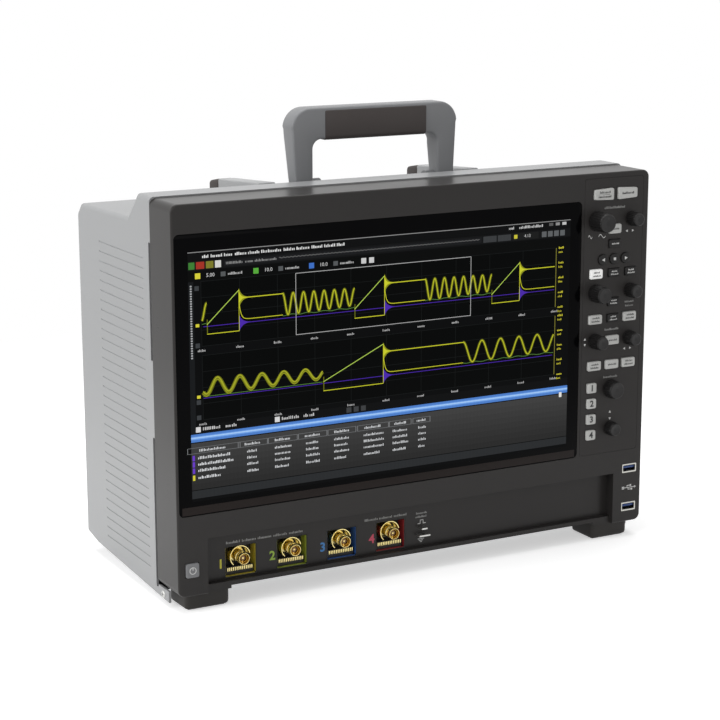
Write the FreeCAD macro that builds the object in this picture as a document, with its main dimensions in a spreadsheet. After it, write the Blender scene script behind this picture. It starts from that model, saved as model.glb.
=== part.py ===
"""Bench oscilloscope with a wide touch display, four input channels and a folding handle.

X runs to the viewer's right, Y from the front to the back and Z up.  The origin is on
the table under the middle of the whole instrument.  All sizes are millimetres.
"""
import FreeCAD, Part
import math
import os
import re
import Sketcher

os.makedirs("parts", exist_ok=True)
doc = FreeCAD.newDocument("oscilloscope")

# ---------------------------------------------------------------- driving dimensions
SIZES = {
    # case
    "case_width": 436.0,
    "case_top": 320.0,
    "hump_top": 321.0,
    "hump_back": 66.0,
    "deck_front": 88.0,
    "deck_top": 300.0,
    "deck_drop": 2.0,
    "case_depth": 194.0,
    "rear_corner": 5.0,
    "cover_wall": 2.0,
    "cover_edge": 4.0,
    "cover_bottom_front": 5.5,
    "cover_bottom_rear": 12.5,
    "cover_tail": 171.0,
    "tail_rise": 4.5,
    "tab_front": 20.0,
    # front bezel
    "bezel_depth": 41.0,
    "bezel_wall": 3.0,
    "bezel_face": 3.5,
    "bezel_bottom": 14.0,
    "lip_bottom": 16.5,
    "lip_top": 20.0,
    "lip_front": 4.0,
    "bezel_corner": 6.0,
    "bezel_edge": 1.6,
    "air_gap": 3.5,
    # display
    "glass_rim": 2.0,
    "glass_width": 366.2,
    "glass_height": 218.6,
    "glass_thick": 1.9,
    "glass_sunk": 0.3,
    "glass_corner": 4.0,
    "top_band": 22.8,
    "lcd_width": 344.2,
    "lcd_height": 193.6,
    "lcd_left": 11.0,
    "lcd_low": 11.2,
    "lcd_frame": 5.0,
    "lcd_thick": 8.0,
    # control panel
    "panel_gap": 2.8,
    "panel_margin": 6.0,
    "panel_low": 0.4,
    "panel_high": 4.5,
    "panel_thick": 2.2,
    "panel_ledge": 3.0,
    "column_left": 52.5,
    "column_mid": 34.5,
    "column_right": 17.5,
    "board_front": 10.0,
    "board_thick": 1.6,
    # keys
    "key_proud": 1.6,
    "key_gap": 0.25,
    "key_travel": 0.7,
    "key_stem": 2.0,
    "key_skirt": 2.6,
    "key_round": 1.5,
    "wide_key": 13.5,
    "wide_key_high": 8.0,
    "plain_key": 11.5,
    "plain_key_high": 7.0,
    "number_key": 9.5,
    "number_key_high": 8.6,
    "round_key": 9.0,
    "round_key_pitch": 11.5,
    "top_key": 19.6,
    "top_key_high": 10.2,
    "top_key_low": 8.4,
    "top_key_pitch": 23.8,
    "power_key": 11.0,
    "power_key_high": 11.4,
    "power_key_left": 11.5,
    "power_key_level": 35.3,
    # knobs
    "large_knob": 17.0,
    "medium_knob": 15.0,
    "small_knob": 13.0,
    "low_knob": 12.4,
    "scale_knob": 16.0,
    "offset_knob": 12.4,
    "large_knob_proud": 17.0,
    "medium_knob_proud": 15.0,
    "small_knob_proud": 14.0,
    "low_knob_proud": 12.0,
    "scale_knob_proud": 10.5,
    "offset_knob_proud": 9.5,
    "knob_gap": 0.6,
    "knob_taper": 0.8,
    "shaft": 6.0,
    "shaft_fit": 0.05,
    "encoder": 12.0,
    # connector bay
    "bay_left": 25.0,
    "bay_right": 29.0,
    "bay_top": 59.0,
    "bay_depth": 10.0,
    "bay_round": 4.0,
    "channel_first": 57.6,
    "channel_pitch": 45.0,
    "pocket_width": 28.0,
    "pocket_height": 25.8,
    "pocket_level": 33.5,
    "pocket_depth": 13.0,
    "pocket_wall": 0.8,
    "jack_level": 36.3,
    "jack_barrel": 9.6,
    "jack_bore": 8.2,
    "jack_front": 3.4,
    "jack_neck": 12.6,
    "jack_bore_depth": 9.0,
    "jack_lug": 2.0,
    "jack_lug_span": 11.0,
    "jack_lug_back": 4.0,
    "collar": 18.0,
    "collar_bore": 15.0,
    "collar_front": 11.0,
    "collar_notch": 4.0,
    "block_thick": 3.0,
    "strip_width": 23.0,
    "strip_height": 4.0,
    "strip_level": 26.6,
    "strip_front": 12.0,
    "strip_thick": 0.6,
    "terminal_x": 3.7,
    "terminal_thick": 1.2,
    "long_terminal": 10.5,
    "short_terminal": 5.5,
    "long_terminal_level": 30.3,
    "short_terminal_level": 36.3,
    "terminal_proud": 6.5,
    # usb sockets
    "usb_x": 12.3,
    "usb_upper": 61.8,
    "usb_lower": 27.5,
    "usb_width": 15.0,
    "usb_height": 8.0,
    "usb_open": 12.6,
    "usb_open_high": 5.2,
    "usb_depth": 18.0,
    "usb_wall": 1.0,
    # side louvres
    "louvre_first": 24.0,
    "louvre_pitch": 8.0,
    "louvre_high": 1.1,
    "louvre_front": 56.0,
    "louvre_long": 92.0,
    # handle
    "handle_front": 80.0,
    "handle_deep": 19.0,
    "handle_foot_deep": 13.0,
    "handle_top": 378.0,
    "handle_half": 77.5,
    "handle_half_low": 73.8,
    "handle_inner": 58.0,
    "bar_bottom": 352.0,
    "handle_outer_round": 17.0,
    "handle_inner_round": 8.0,
    "handle_edge": 1.5,
    "pivot_y": 87.0,
    "pivot_z": 313.0,
    "pivot_end": 7.0,
    "pivot_pin": 8.0,
    "pivot_fit": 0.06,
    "pivot_gap": 0.4,
    "pivot_pin_long": 12.0,
    "hub_wide": 8.0,
    "grip_half": 47.0,
    "grip_thick": 1.1,
    "grip_top": 375.0,
    "grip_groove": 1.2,
    # ribs on the rear deck
    "rib_inner": 88.0,
    "rib_wide": 16.0,
    "rib_back": 190.0,
    "rib_back_high": 11.0,
    "rib_front_high": 19.0,
    "rib_round": 5.0,
    # feet
    "foot_outer": 210.0,
    "foot_wide": 38.5,
    "foot_front": 6.4,
    "foot_long": 32.0,
    "foot_round": 4.0,
    "rear_foot_outer": 203.0,
    "rear_foot_wide": 28.0,
    "rear_foot_front": 172.0,
    "rear_foot_past": 12.0,
    "rear_foot_level": 12.0,
    "rear_foot_high": 42.0,
    "rear_foot_gap": 0.3,
    # inner structure
    "sheet": 1.5,
    "pan_level": 8.0,
    "tray_level": 22.0,
    "tray_front": 45.0,
    "tray_half": 211.0,
    "tray_side": 120.0,
    "rear_half": 206.0,
    "rear_low": 26.0,
    "rear_high": 284.0,
    "rear_fit": 0.3,
    "flange": 8.0,
    "board_level": 30.0,
    "main_board_left": 205.0,
    "main_board_right": 150.0,
    "main_board_front": 27.0,
    "main_board_back": 180.0,
    "supply_left": 45.0,
    "supply_right": 200.0,
    "supply_front": 92.0,
    "supply_back": 168.0,
    "supply_low": 62.0,
    "supply_high": 118.0,
    "fan_x": 110.0,
    "fan_z": 205.0,
    "fan_size": 92.0,
    "fan_deep": 25.0,
    "fan_bore": 86.0,
    "fan_tip": 82.0,
    "fan_hub": 34.0,
    "fan_spindle": 5.0,
    "fan_spindle_fit": 0.05,
    "vent_pitch": 9.0,
    "vent_high": 5.0,
    "inlet_x": 150.0,
    "inlet_z": 88.0,
    "inlet_wide": 28.0,
    "inlet_high": 20.0,
    "inlet_open": 24.0,
    "inlet_open_high": 16.0,
    "inlet_deep": 20.0,
    "inlet_pin_short": 5.0,
    "port_z": 46.0,
    "port_deep": 14.0,
    "screw_head": 6.0,
    "screw_head_high": 0.8,
}

CHANNELS = 4
LOUVRES = 32
FAN_BLADES = 7
KNOB_LEVELS = {"horizontal": 280.0, "trigger": 219.0, "marker": 178.0, "scale": 135.0, "offset": 100.5}
KEY_LEVELS = {"top": 302.0, "touch": 272.5, "search": 260.0, "step": 247.0, "run": 235.3,
              "menu": 210.5, "mode": 196.5, "select": 177.5, "tools": 156.5}
NUMBER_KEY_LEVELS = [137.5, 124.0, 110.3, 96.5]

sheet = doc.addObject("Spreadsheet::Sheet", "Sizes")


def put_size(row, alias, number):
    """Write one driving dimension and give its cell a name."""
    sheet.set("A%d" % row, alias)
    sheet.set("B%d" % row, "%.4f" % number)
    sheet.setAlias("B%d" % row, alias)


for group in (KNOB_LEVELS, KEY_LEVELS):
    suffix = "_knob_level" if group is KNOB_LEVELS else "_key_level"
    SIZES.update({name + suffix: level for name, level in group.items()})
for number, level in enumerate(NUMBER_KEY_LEVELS, start=1):
    SIZES["number_%d_key_level" % number] = level
for row, (alias, number) in enumerate(SIZES.items(), start=1):
    put_size(row, alias, number)
doc.recompute()

# The front face stands half the overall depth ahead of the origin.  The deepest points
# are the large knobs' caps and the rear feet.
FRONT = "(large_knob_proud - (case_depth + rear_foot_past))/2"


def expression(text):
    """Turn size names into references to the sheet."""
    return re.sub(r"[a-z]+(_[a-z0-9]+)*", lambda m: "Sizes." + m.group(0) if m.group(0) in SIZES else m.group(0), str(text))


def bind(target, path, text):
    """Bind one property of an object to sizes of the sheet."""
    target.setExpression(path, expression(text))


def place(target, x, y, z):
    """Put an object at x, y behind the front face, and z above the table."""
    bind(target, "Placement.Base.x", x)
    bind(target, "Placement.Base.y", "%s + (%s)" % (FRONT, y))
    bind(target, "Placement.Base.z", z)


def box(name, x, y, z, length, width, height):
    """A block from its low corner and its sizes along X, Y and Z."""
    block = doc.addObject("Part::Box", name)
    bind(block, "Length", length)
    bind(block, "Width", width)
    bind(block, "Height", height)
    place(block, x, y, z)
    return block


TURNS = {
    "x": FreeCAD.Rotation(FreeCAD.Vector(0, 1, 0), 90),
    "y": FreeCAD.Rotation(FreeCAD.Vector(1, 0, 0), -90),
    "z": FreeCAD.Rotation(),
}


def rod(name, axis, radius, length, x, y, z):
    """A round bar from its start point along the named axis."""
    bar = doc.addObject("Part::Cylinder", name)
    bar.Placement = FreeCAD.Placement(FreeCAD.Vector(), TURNS[axis])
    bind(bar, "Radius", radius)
    bind(bar, "Height", length)
    place(bar, x, y, z)
    return bar


def fuse(name, pieces):
    """Join several objects into one solid."""
    joined = doc.addObject("Part::MultiFuse", name)
    joined.Shapes = pieces
    joined.Refine = True
    return joined


def group(name, pieces):
    """Keep several separate solids together in one object."""
    together = doc.addObject("Part::Compound", name)
    together.Links = pieces
    return together


def cut(name, base, tools):
    """Take the tools away from the base."""
    tool = tools[0]
    if len(tools) > 1:
        tool = group(name + "_tools", tools)
    result = doc.addObject("Part::Cut", name)
    result.Base = base
    result.Tool = tool
    result.Refine = True
    return result


def common(name, first, second):
    """Keep what two objects share."""
    result = doc.addObject("Part::Common", name)
    result.Base = first
    result.Tool = second
    return result


def size(alias):
    """The number in one cell of the sheet."""
    return float(sheet.get(alias))


def front():
    """Where the front face lies along Y."""
    return (size("large_knob_proud") - (size("case_depth") + size("rear_foot_past"))) / 2


def fillet(name, base, alias, pick):
    """Round the picked edges of an object."""
    doc.recompute()
    rounded = doc.addObject("Part::Fillet", name)
    rounded.Base = base
    radius = size(alias)
    rounded.Edges = [(i, radius, radius) for i, e in enumerate(base.Shape.Edges, start=1) if pick(e)]
    return rounded


def along(edge, axis):
    """True for a straight edge that runs along the named axis."""
    if len(edge.Vertexes) != 2:
        return False
    run = edge.Vertexes[1].Point - edge.Vertexes[0].Point
    return abs(getattr(run, axis)) > 0.999 * run.Length


def middle(edge):
    """The centre of an edge's box, with y counted from the front face."""
    centre = edge.BoundBox.Center
    return FreeCAD.Vector(centre.x, centre.y - front(), centre.z)


PLANES = {"front": "XZ_Plane", "side": "YZ_Plane", "top": "XY_Plane"}


def draw(body, name, plane, corners):
    """A closed outline of straight lines whose corners are bound to the sheet."""
    origin_plane = [f for f in body.Origin.OriginFeatures if f.Role == PLANES[plane]][0]
    sketch = body.newObject("Sketcher::SketchObject", name)
    sketch.AttachmentSupport = [(origin_plane, "")]
    sketch.MapMode = "FlatFace"
    count = len(corners)
    ring = [FreeCAD.Vector(50 * math.cos(2 * math.pi * i / count), 50 * math.sin(2 * math.pi * i / count), 0)
            for i in range(count)]
    for i in range(count):
        sketch.addGeometry(Part.LineSegment(ring[i], ring[(i + 1) % count]), False)
    for i in range(count):
        sketch.addConstraint(Sketcher.Constraint("Coincident", i, 2, (i + 1) % count, 1))
    for i, (across, up) in enumerate(corners):
        for kind, text, start in (("DistanceX", across, ring[i].x), ("DistanceY", up, ring[i].y)):
            index = sketch.addConstraint(Sketcher.Constraint(kind, -1, 1, i, 1, start))
            bind(sketch, "Constraints[%d]" % index, text)
    return sketch


def plate(name, corners, y, thickness):
    """An outline in the front view, carried backwards from y."""
    body = doc.addObject("PartDesign::Body", name)
    pad = body.newObject("PartDesign::Pad", name + "_pad")
    pad.Profile = draw(body, name + "_outline", "front", corners)
    pad.Reversed = True
    bind(pad, "Length", thickness)
    body.Tip = pad
    place(body, 0, y, 0)
    return body


def profile(name, corners, x, width):
    """An outline in the side view, carried along X from x."""
    body = doc.addObject("PartDesign::Body", name)
    pad = body.newObject("PartDesign::Pad", name + "_pad")
    pad.Profile = draw(body, name + "_outline", "side", corners)
    bind(pad, "Length", width)
    body.Tip = pad
    place(body, x, 0, 0)
    return body


def turned(name, corners, x, y, z):
    """An outline of radius and height, turned about an axis that points out of the front."""
    body = doc.addObject("PartDesign::Body", name)
    turn = body.newObject("PartDesign::Revolution", name + "_turn")
    sketch = draw(body, name + "_outline", "front", corners)
    turn.Profile = sketch
    turn.ReferenceAxis = (sketch, ["V_Axis"])
    turn.Angle = 360
    body.Tip = turn
    body.Placement = FreeCAD.Placement(FreeCAD.Vector(), FreeCAD.Rotation(FreeCAD.Vector(1, 0, 0), 90))
    place(body, x, y, z)
    return body


PARTS = {}


def part(node, shape):
    """Name a finished sub-part after its node."""
    shape.Label = node
    PARTS[node] = shape
    return shape


# Lines that several pieces share.
SIDE = "case_width/2"
GLASS_LEFT = "(-case_width/2 + glass_rim)"
GLASS_RIGHT = "(-case_width/2 + glass_rim + glass_width)"
GLASS_TOP = "(case_top - top_band)"
GLASS_LOW = "(case_top - top_band - glass_height)"
GLASS_BACK = "(glass_sunk + glass_thick)"
PANEL_LEFT = "(-case_width/2 + glass_rim + glass_width + panel_gap)"
PANEL_RIGHT = "(case_width/2 - panel_margin)"
PANEL_LOW = "(case_top - top_band - glass_height + panel_low)"
PANEL_HIGH = "(case_top - panel_high)"
POCKET_BACK = "(bay_depth + pocket_depth)"
COLUMNS = {"left": "(case_width/2 - column_left)", "mid": "(case_width/2 - column_mid)",
           "right": "(case_width/2 - column_right)"}


# ---------------------------------------------------------------- keys
def key_box(name, x, z, wide, high, extra, y, deep):
    """A block centred on a key's place, wider than the key by extra all round."""
    return box(name, "(%s) - (%s)/2 - (%s)" % (x, wide, extra), y, "(%s) - (%s)/2 - (%s)" % (z, high, extra),
               "%s + 2*(%s)" % (wide, extra), deep, "%s + 2*(%s)" % (high, extra))


def stem(name, x, z):
    """The plunger behind a key, down to its switch on the board."""
    return rod(name, "y", "key_stem", "board_front - panel_thick - key_skirt - key_travel", x,
               "panel_thick + key_skirt", z)


def finish_key(node, cap, x, z):
    """Round a key's cap and join its plunger."""
    rounded = fillet(node + "_cap", cap, "key_round", lambda e: along(e, "y"))
    return part(node, fuse(node, [rounded, stem(node + "_stem", x, z)]))


KEY_DEEP = "key_proud + panel_thick + key_skirt"
HOLES = []


def square_key(node, x, z, wide, high):
    """A rectangular key, its plunger and the hole that it needs in the panel."""
    cap = key_box(node + "_block", x, z, wide, high, "0", "-key_proud", KEY_DEEP)
    HOLES.append(key_box(node + "_hole", x, z, wide, high, "key_gap", "-1", "panel_thick + 2"))
    return finish_key(node, cap, x, z)


def round_key(node, x, z):
    """A round key, its plunger and the hole that it needs in the panel."""
    cap = rod(node + "_cap", "y", "round_key/2", KEY_DEEP, x, "-key_proud", z)
    HOLES.append(rod(node + "_hole", "y", "round_key/2 + key_gap", "panel_thick + 2", x, "-1", z))
    return part(node, fuse(node, [cap, stem(node + "_stem", x, z)]))


def top_key_corners(x, z, side, extra):
    """The outline of a top key: its outer end is lower than its inner one."""
    outer = "%s + (%d)*(top_key/2 + %s)" % (x, side, extra)
    inner = "%s - (%d)*(top_key/2 + %s)" % (x, side, extra)
    tall = "(top_key_high/2 + %s)" % extra
    short = "(top_key_low/2 + %s)" % extra
    return [(inner, z + " - " + tall), (outer, z + " - " + short), (outer, z + " + " + short), (inner, z + " + " + tall)]


def top_key(node, side):
    """One of the two large keys at the top of the panel."""
    x = "(%s + (%d)*top_key_pitch/2)" % (COLUMNS["mid"], side)
    z = "top_key_level"
    cap = plate(node + "_block", top_key_corners(x, z, side, "0"), "-key_proud", KEY_DEEP)
    HOLES.append(plate(node + "_hole", top_key_corners(x, z, side, "key_gap"), "-1", "panel_thick + 2"))
    return finish_key(node, cap, x, z)


def level(name):
    """The height of a row of keys."""
    return name + "_key_level"


top_key("key_default", -1)
top_key("key_autoscale", 1)
square_key("key_touch", COLUMNS["mid"], level("touch"), "(wide_key - 1)", "wide_key_high")
square_key("key_search", COLUMNS["mid"], level("search"), "plain_key", "plain_key_high")
for place_name, side in (("back", -1), ("stop", 0), ("forward", 1)):
    round_key("key_step_" + place_name, "(%s + (%d)*round_key_pitch)" % (COLUMNS["mid"], side), level("step"))
square_key("key_run", COLUMNS["left"], level("run"), "(wide_key - 1)", "wide_key_high")
square_key("key_single", COLUMNS["mid"], level("run"), "plain_key", "plain_key_high")
square_key("key_clear", COLUMNS["right"], level("run"), "plain_key", "plain_key_high")
square_key("key_menu", COLUMNS["mid"], level("menu"), "plain_key", "plain_key_high")
square_key("key_mode", COLUMNS["left"], level("mode"), "wide_key", "wide_key_high")
square_key("key_acquire", COLUMNS["mid"], level("mode"), "plain_key", "plain_key_high")
square_key("key_force", COLUMNS["right"], level("mode"), "wide_key", "wide_key_high")
square_key("key_select", COLUMNS["mid"], level("select"), "wide_key", "wide_key_high")
square_key("key_math", COLUMNS["left"], level("tools"), "wide_key", "wide_key_high")
square_key("key_serial", COLUMNS["mid"], level("tools"), "wide_key", "wide_key_high")
square_key("key_digital", COLUMNS["right"], level("tools"), "wide_key", "wide_key_high")
for number in range(1, CHANNELS + 1):
    square_key("key_channel_%d" % number, "(%s - 2)" % COLUMNS["left"], "number_%d_key_level" % number,
               "number_key", "number_key_high")
PANEL_HOLES = list(HOLES)
HOLES.clear()
POWER_X = "(-case_width/2 + power_key_left)"
square_key("key_power", POWER_X, "power_key_level", "power_key", "power_key_high")
POWER_HOLE = key_box("power_opening", POWER_X, "power_key_level", "power_key", "power_key_high", "key_gap",
                     "-1", "bezel_face + 2")

# ---------------------------------------------------------------- knobs and their encoders
ENCODERS = []
SHAFT_HOLES = []


def knob(node, x, z, kind):
    """A slightly tapered knob on its shaft, which turns in an encoder behind the panel."""
    wide = kind + "_knob/2"
    proud = kind + "_knob_proud"
    corners = [("0.001", "-board_front + 1"), ("shaft/2", "-board_front + 1"), ("shaft/2", "knob_gap"),
               (wide, "knob_gap"), (wide, "knob_gap + 2"), (wide + " - knob_taper", proud + " - 1"),
               (wide + " - knob_taper - 1", proud), ("0.001", proud)]
    part(node, turned(node, corners, x, "0", z))
    case = key_box(node + "_encoder_case", x, z, "encoder", "encoder", "0", "panel_thick",
                   "board_front - panel_thick")
    well = rod(node + "_encoder_well", "y", "shaft/2 + shaft_fit", "board_front - panel_thick - 0.5", x,
               "panel_thick - 0.1", z)
    ENCODERS.append(cut(node + "_encoder", case, [well]))
    SHAFT_HOLES.append(rod(node + "_hole", "y", "shaft/2 + 0.5", "panel_thick + 2", x, "-1", z))


knob("knob_horizontal_scale", COLUMNS["left"], "horizontal_knob_level", "large")
knob("knob_horizontal_position", COLUMNS["right"], "horizontal_knob_level", "low")
knob("knob_trigger_level", COLUMNS["left"], "trigger_knob_level", "medium")
knob("knob_search", COLUMNS["right"], "trigger_knob_level", "low")
knob("knob_marker", COLUMNS["left"], "marker_knob_level", "small")
knob("knob_marker_fine", COLUMNS["right"], "marker_knob_level", "low")
knob("knob_vertical_scale", COLUMNS["mid"], "scale_knob_level", "scale")
knob("knob_vertical_offset", COLUMNS["mid"], "offset_knob_level", "offset")

panel_slab = box("panel_slab", PANEL_LEFT, "0", PANEL_LOW, "%s - %s" % (PANEL_RIGHT, PANEL_LEFT), "panel_thick",
                 "%s - %s" % (PANEL_HIGH, PANEL_LOW))
panel_round = fillet("panel_round", panel_slab, "key_skirt", lambda e: along(e, "y"))
part("control_panel", cut("control_panel", panel_round, PANEL_HOLES + SHAFT_HOLES))

board = box("board_slab", "%s + panel_ledge" % PANEL_LEFT, "board_front", "%s + panel_ledge" % PANEL_LOW,
            "%s - %s - 2*panel_ledge" % (PANEL_RIGHT, PANEL_LEFT), "board_thick",
            "%s - %s - 2*panel_ledge" % (PANEL_HIGH, PANEL_LOW))
part("keypad_board", fuse("keypad_board", [board] + ENCODERS))

# ---------------------------------------------------------------- display
glass = box("glass_slab", GLASS_LEFT, "glass_sunk", GLASS_LOW, "glass_width", "glass_thick", "glass_height")
part("display_glass", fillet("display_glass", glass, "glass_corner", lambda e: along(e, "y")))
LCD_LEFT = "(%s + lcd_left)" % GLASS_LEFT
LCD_LOW = "(%s + lcd_low)" % GLASS_LOW
part("lcd_panel", box("lcd_panel", LCD_LEFT + " - lcd_frame", "bezel_face", LCD_LOW + " - lcd_frame",
                      "lcd_width + 2*lcd_frame", "lcd_thick", "lcd_height + 2*lcd_frame"))

# ---------------------------------------------------------------- channel inputs
channel_frames = []
channel_holes = []
blocks = []
jacks = []
collars = []
strips = []


def channel(number):
    """One input: coloured frame, dark block, jack, probe collar and contact strip."""
    tag = "channel_%d_" % number
    x = "(-case_width/2 + channel_first + %d*channel_pitch)" % (number - 1)
    opening = key_box(tag + "opening", x, "pocket_level", "pocket_width", "pocket_height", "0",
                      "bay_depth - 1", "bezel_wall + 2")
    channel_holes.append(opening)
    tube = key_box(tag + "tube", x, "pocket_level", "pocket_width", "pocket_height", "0", "bay_depth",
                   "pocket_depth")
    inside = key_box(tag + "inside", x, "pocket_level", "pocket_width - 2*pocket_wall",
                     "pocket_height - 2*pocket_wall", "0", "bay_depth - 1", "pocket_depth + 2")
    channel_frames.append(cut(tag + "frame", tube, [inside]))
    floor = key_box(tag + "floor", x, "pocket_level", "pocket_width - 2*pocket_wall",
                    "pocket_height - 2*pocket_wall", "0", POCKET_BACK + " - block_thick", "block_thick")
    shelf_low = "pocket_level - pocket_height/2 + pocket_wall"
    shelf = box(tag + "shelf", "%s - strip_width/2 - 0.5" % x, "strip_front + strip_thick", shelf_low,
                "strip_width + 1", "%s - block_thick - strip_front - strip_thick" % POCKET_BACK,
                "jack_level - collar/2 - (%s) - 0.2" % shelf_low)
    hole = rod(tag + "block_hole", "y", "jack_neck/2 + 0.05", "block_thick + 2", x, POCKET_BACK + " - block_thick - 1",
               "jack_level")
    blocks.append(cut(tag + "block", fuse(tag + "block_body", [floor, shelf]), [hole]))
    strips.append(key_box(tag + "strip", x, "strip_level", "strip_width", "strip_height", "0", "strip_front",
                          "strip_thick"))
    barrel = [("jack_bore/2", "-jack_front"), ("jack_barrel/2", "-jack_front"),
              ("jack_barrel/2", "block_thick - %s + 1" % POCKET_BACK),
              ("jack_neck/2", "block_thick - %s + 1" % POCKET_BACK), ("jack_neck/2", "-%s - 4" % POCKET_BACK),
              ("0.001", "-%s - 4" % POCKET_BACK), ("0.001", "-jack_front - jack_bore_depth"),
              ("jack_bore/2", "-jack_front - jack_bore_depth")]
    body = turned(tag + "barrel", barrel, x, "0", "jack_level")
    lug = rod(tag + "lugs", "z", "jack_lug/2", "jack_lug_span", x, "jack_front + jack_lug_back",
              "jack_level - jack_lug_span/2")
    bore = rod(tag + "bore", "y", "jack_bore/2", "jack_bore_depth + 1", x, "jack_front - 1", "jack_level")
    jacks.append(cut(tag + "jack", fuse(tag + "jack_body", [body, lug]), [bore]))
    ring = rod(tag + "ring", "y", "collar/2", "%s - block_thick - collar_front" % POCKET_BACK, x, "collar_front",
               "jack_level")
    ring_bore = rod(tag + "ring_bore", "y", "collar_bore/2", "pocket_depth + 9", x, "collar_front - 1",
                    "jack_level")
    notch = doc.addObject("Part::Box", tag + "notch")
    bind(notch, "Length", "collar + 4")
    bind(notch, "Width", "6")
    bind(notch, "Height", "collar_notch")
    turn = FreeCAD.Rotation(FreeCAD.Vector(0, 1, 0), 45)
    notch.Placement = FreeCAD.Placement(FreeCAD.Vector(), turn)
    lean = math.sqrt(0.5)
    place(notch, "%s - %.6f*(collar/2 + 2) - %.6f*collar_notch/2" % (x, lean, lean), "collar_front - 1",
          "jack_level + %.6f*(collar/2 + 2) - %.6f*collar_notch/2" % (lean, lean))
    rest = box(tag + "rest", "%s - strip_width/2 - 1" % x, "collar_front - 1", "jack_level - collar",
               "strip_width + 2", "strip_front + strip_thick + 1.3 - collar_front",
               "strip_level + strip_height/2 + 0.3 - jack_level + collar")
    collars.append(cut(tag + "collar", ring, [ring_bore, notch, rest]))


for number in range(1, CHANNELS + 1):
    channel(number)
part("channel_frames", group("channel_frames", channel_frames))
part("interface_blocks", group("interface_blocks", blocks))
part("bnc_jacks", group("bnc_jacks", jacks))
part("probe_collars", group("probe_collars", collars))
part("contact_strips", group("contact_strips", strips))


def terminal(name, wide, z, y, deep, extra):
    """A flat calibration tongue, or the slot that holds it."""
    return key_box(name, "terminal_x", z, wide, "terminal_thick", extra, y, deep)


TONGUE = ("bay_depth - terminal_proud", "terminal_proud + bezel_wall + 4")
tongues = [terminal("long_tongue", "long_terminal", "long_terminal_level", TONGUE[0], TONGUE[1], "0"),
           terminal("short_tongue", "short_terminal", "short_terminal_level", TONGUE[0], TONGUE[1], "0")]
tongue_slots = [terminal("long_slot", "long_terminal", "long_terminal_level", "bay_depth - 1", "bezel_wall + 2", "0.05"),
                terminal("short_slot", "short_terminal", "short_terminal_level", "bay_depth - 1", "bezel_wall + 2", "0.05")]
part("calibration_terminals", group("calibration_terminals", tongues))

# ---------------------------------------------------------------- usb sockets
USB_X = "(case_width/2 - usb_x)"
usb_shells = []
usb_holes = []
for name in ("upper", "lower"):
    z = "usb_" + name
    shell = key_box("usb_%s_shell" % name, USB_X, z, "usb_width", "usb_height", "0", "0.2", "usb_depth")
    cavity = key_box("usb_%s_cavity" % name, USB_X, z, "usb_open", "usb_open_high", "0", "-1",
                     "usb_depth + 1 - usb_wall")
    usb_shells.append(cut("usb_%s_port" % name, shell, [cavity]))
    usb_holes.append(key_box("usb_%s_opening" % name, USB_X, z, "usb_width", "usb_height", "0", "-1",
                             "bezel_face + 2"))
part("usb_ports", group("usb_ports", usb_shells))

# ---------------------------------------------------------------- front bezel
BEZEL_HIGH = "case_top - bezel_bottom"
bezel_block = box("bezel_block", "-case_width/2", "0", "bezel_bottom", "case_width", "bezel_depth", BEZEL_HIGH)
bezel_corners = fillet("bezel_corners", bezel_block, "bezel_corner", lambda e: along(e, "y"))
bezel_soft = fillet("bezel_soft", bezel_corners, "bezel_edge", lambda e: middle(e).y < 0.01 and e.BoundBox.YLength < 0.01)
bezel_hollow = box("bezel_hollow", "-case_width/2 + bezel_wall", "bezel_face", "lip_bottom + bezel_wall",
                   "case_width - 2*bezel_wall", "bezel_depth", "case_top - lip_bottom - 2*bezel_wall")
bezel_shell = cut("bezel_shell", bezel_soft, [bezel_hollow])
BAY_WIDE = "case_width - bay_left - bay_right"
tub = box("bay_tub", "-case_width/2 + bay_left - bezel_wall", "bezel_face", "lip_bottom",
          BAY_WIDE + " + 2*bezel_wall", "bay_depth + bezel_wall - bezel_face", "bay_top + bezel_wall - lip_bottom")
bezel_solid = fuse("bezel_solid", [bezel_shell, tub])
bay = box("bay", "-case_width/2 + bay_left", "-1", "lip_top", BAY_WIDE, "bay_depth + 1", "bay_top - lip_top")
bay_soft = fillet("bay_soft", bay, "bay_round", lambda e: along(e, "x") and middle(e).y > 1 and middle(e).z > size("lip_top") + 1)
lip_cut = box("lip_cut", "-case_width/2 + bay_left", "-1", "bezel_bottom - 1", BAY_WIDE, "lip_front + 1",
              "lip_top - bezel_bottom + 1")
under_cut = box("under_cut", "-foot_outer + foot_wide", "-1", "bezel_bottom - 1", "2*(foot_outer - foot_wide)",
                "bezel_depth + 2", "lip_bottom - bezel_bottom + 1")
seat_block = box("seat_block", GLASS_LEFT + " - 0.2", "-1", GLASS_LOW + " - 0.2", "glass_width + 0.4",
                 GLASS_BACK + " + 1", "glass_height + 0.4")
glass_seat = fillet("glass_seat", seat_block, "glass_corner", lambda e: along(e, "y"))
window = box("window", LCD_LEFT + " - 1", "0.5", LCD_LOW + " - 1", "lcd_width + 2", "bezel_face + 1", "lcd_height + 2")
panel_seat_block = box("panel_seat_block", PANEL_LEFT + " - 0.2", "-1", PANEL_LOW + " - 0.2",
                 "%s - %s + 0.4" % (PANEL_RIGHT, PANEL_LEFT), "panel_thick + 1", "%s - %s + 0.4" % (PANEL_HIGH, PANEL_LOW))
panel_seat = fillet("panel_seat", panel_seat_block, "key_skirt", lambda e: along(e, "y"))
panel_window = box("panel_window", "%s + panel_ledge" % PANEL_LEFT, "0", "%s + panel_ledge" % PANEL_LOW,
                   "%s - %s - 2*panel_ledge" % (PANEL_RIGHT, PANEL_LEFT), "bezel_face + 1",
                   "%s - %s - 2*panel_ledge" % (PANEL_HIGH, PANEL_LOW))
part("front_bezel", cut("front_bezel", bezel_solid,
                        [bay_soft, lip_cut, under_cut, glass_seat, window, panel_seat, panel_window, POWER_HOLE]
                        + channel_holes + tongue_slots + usb_holes))

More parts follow.
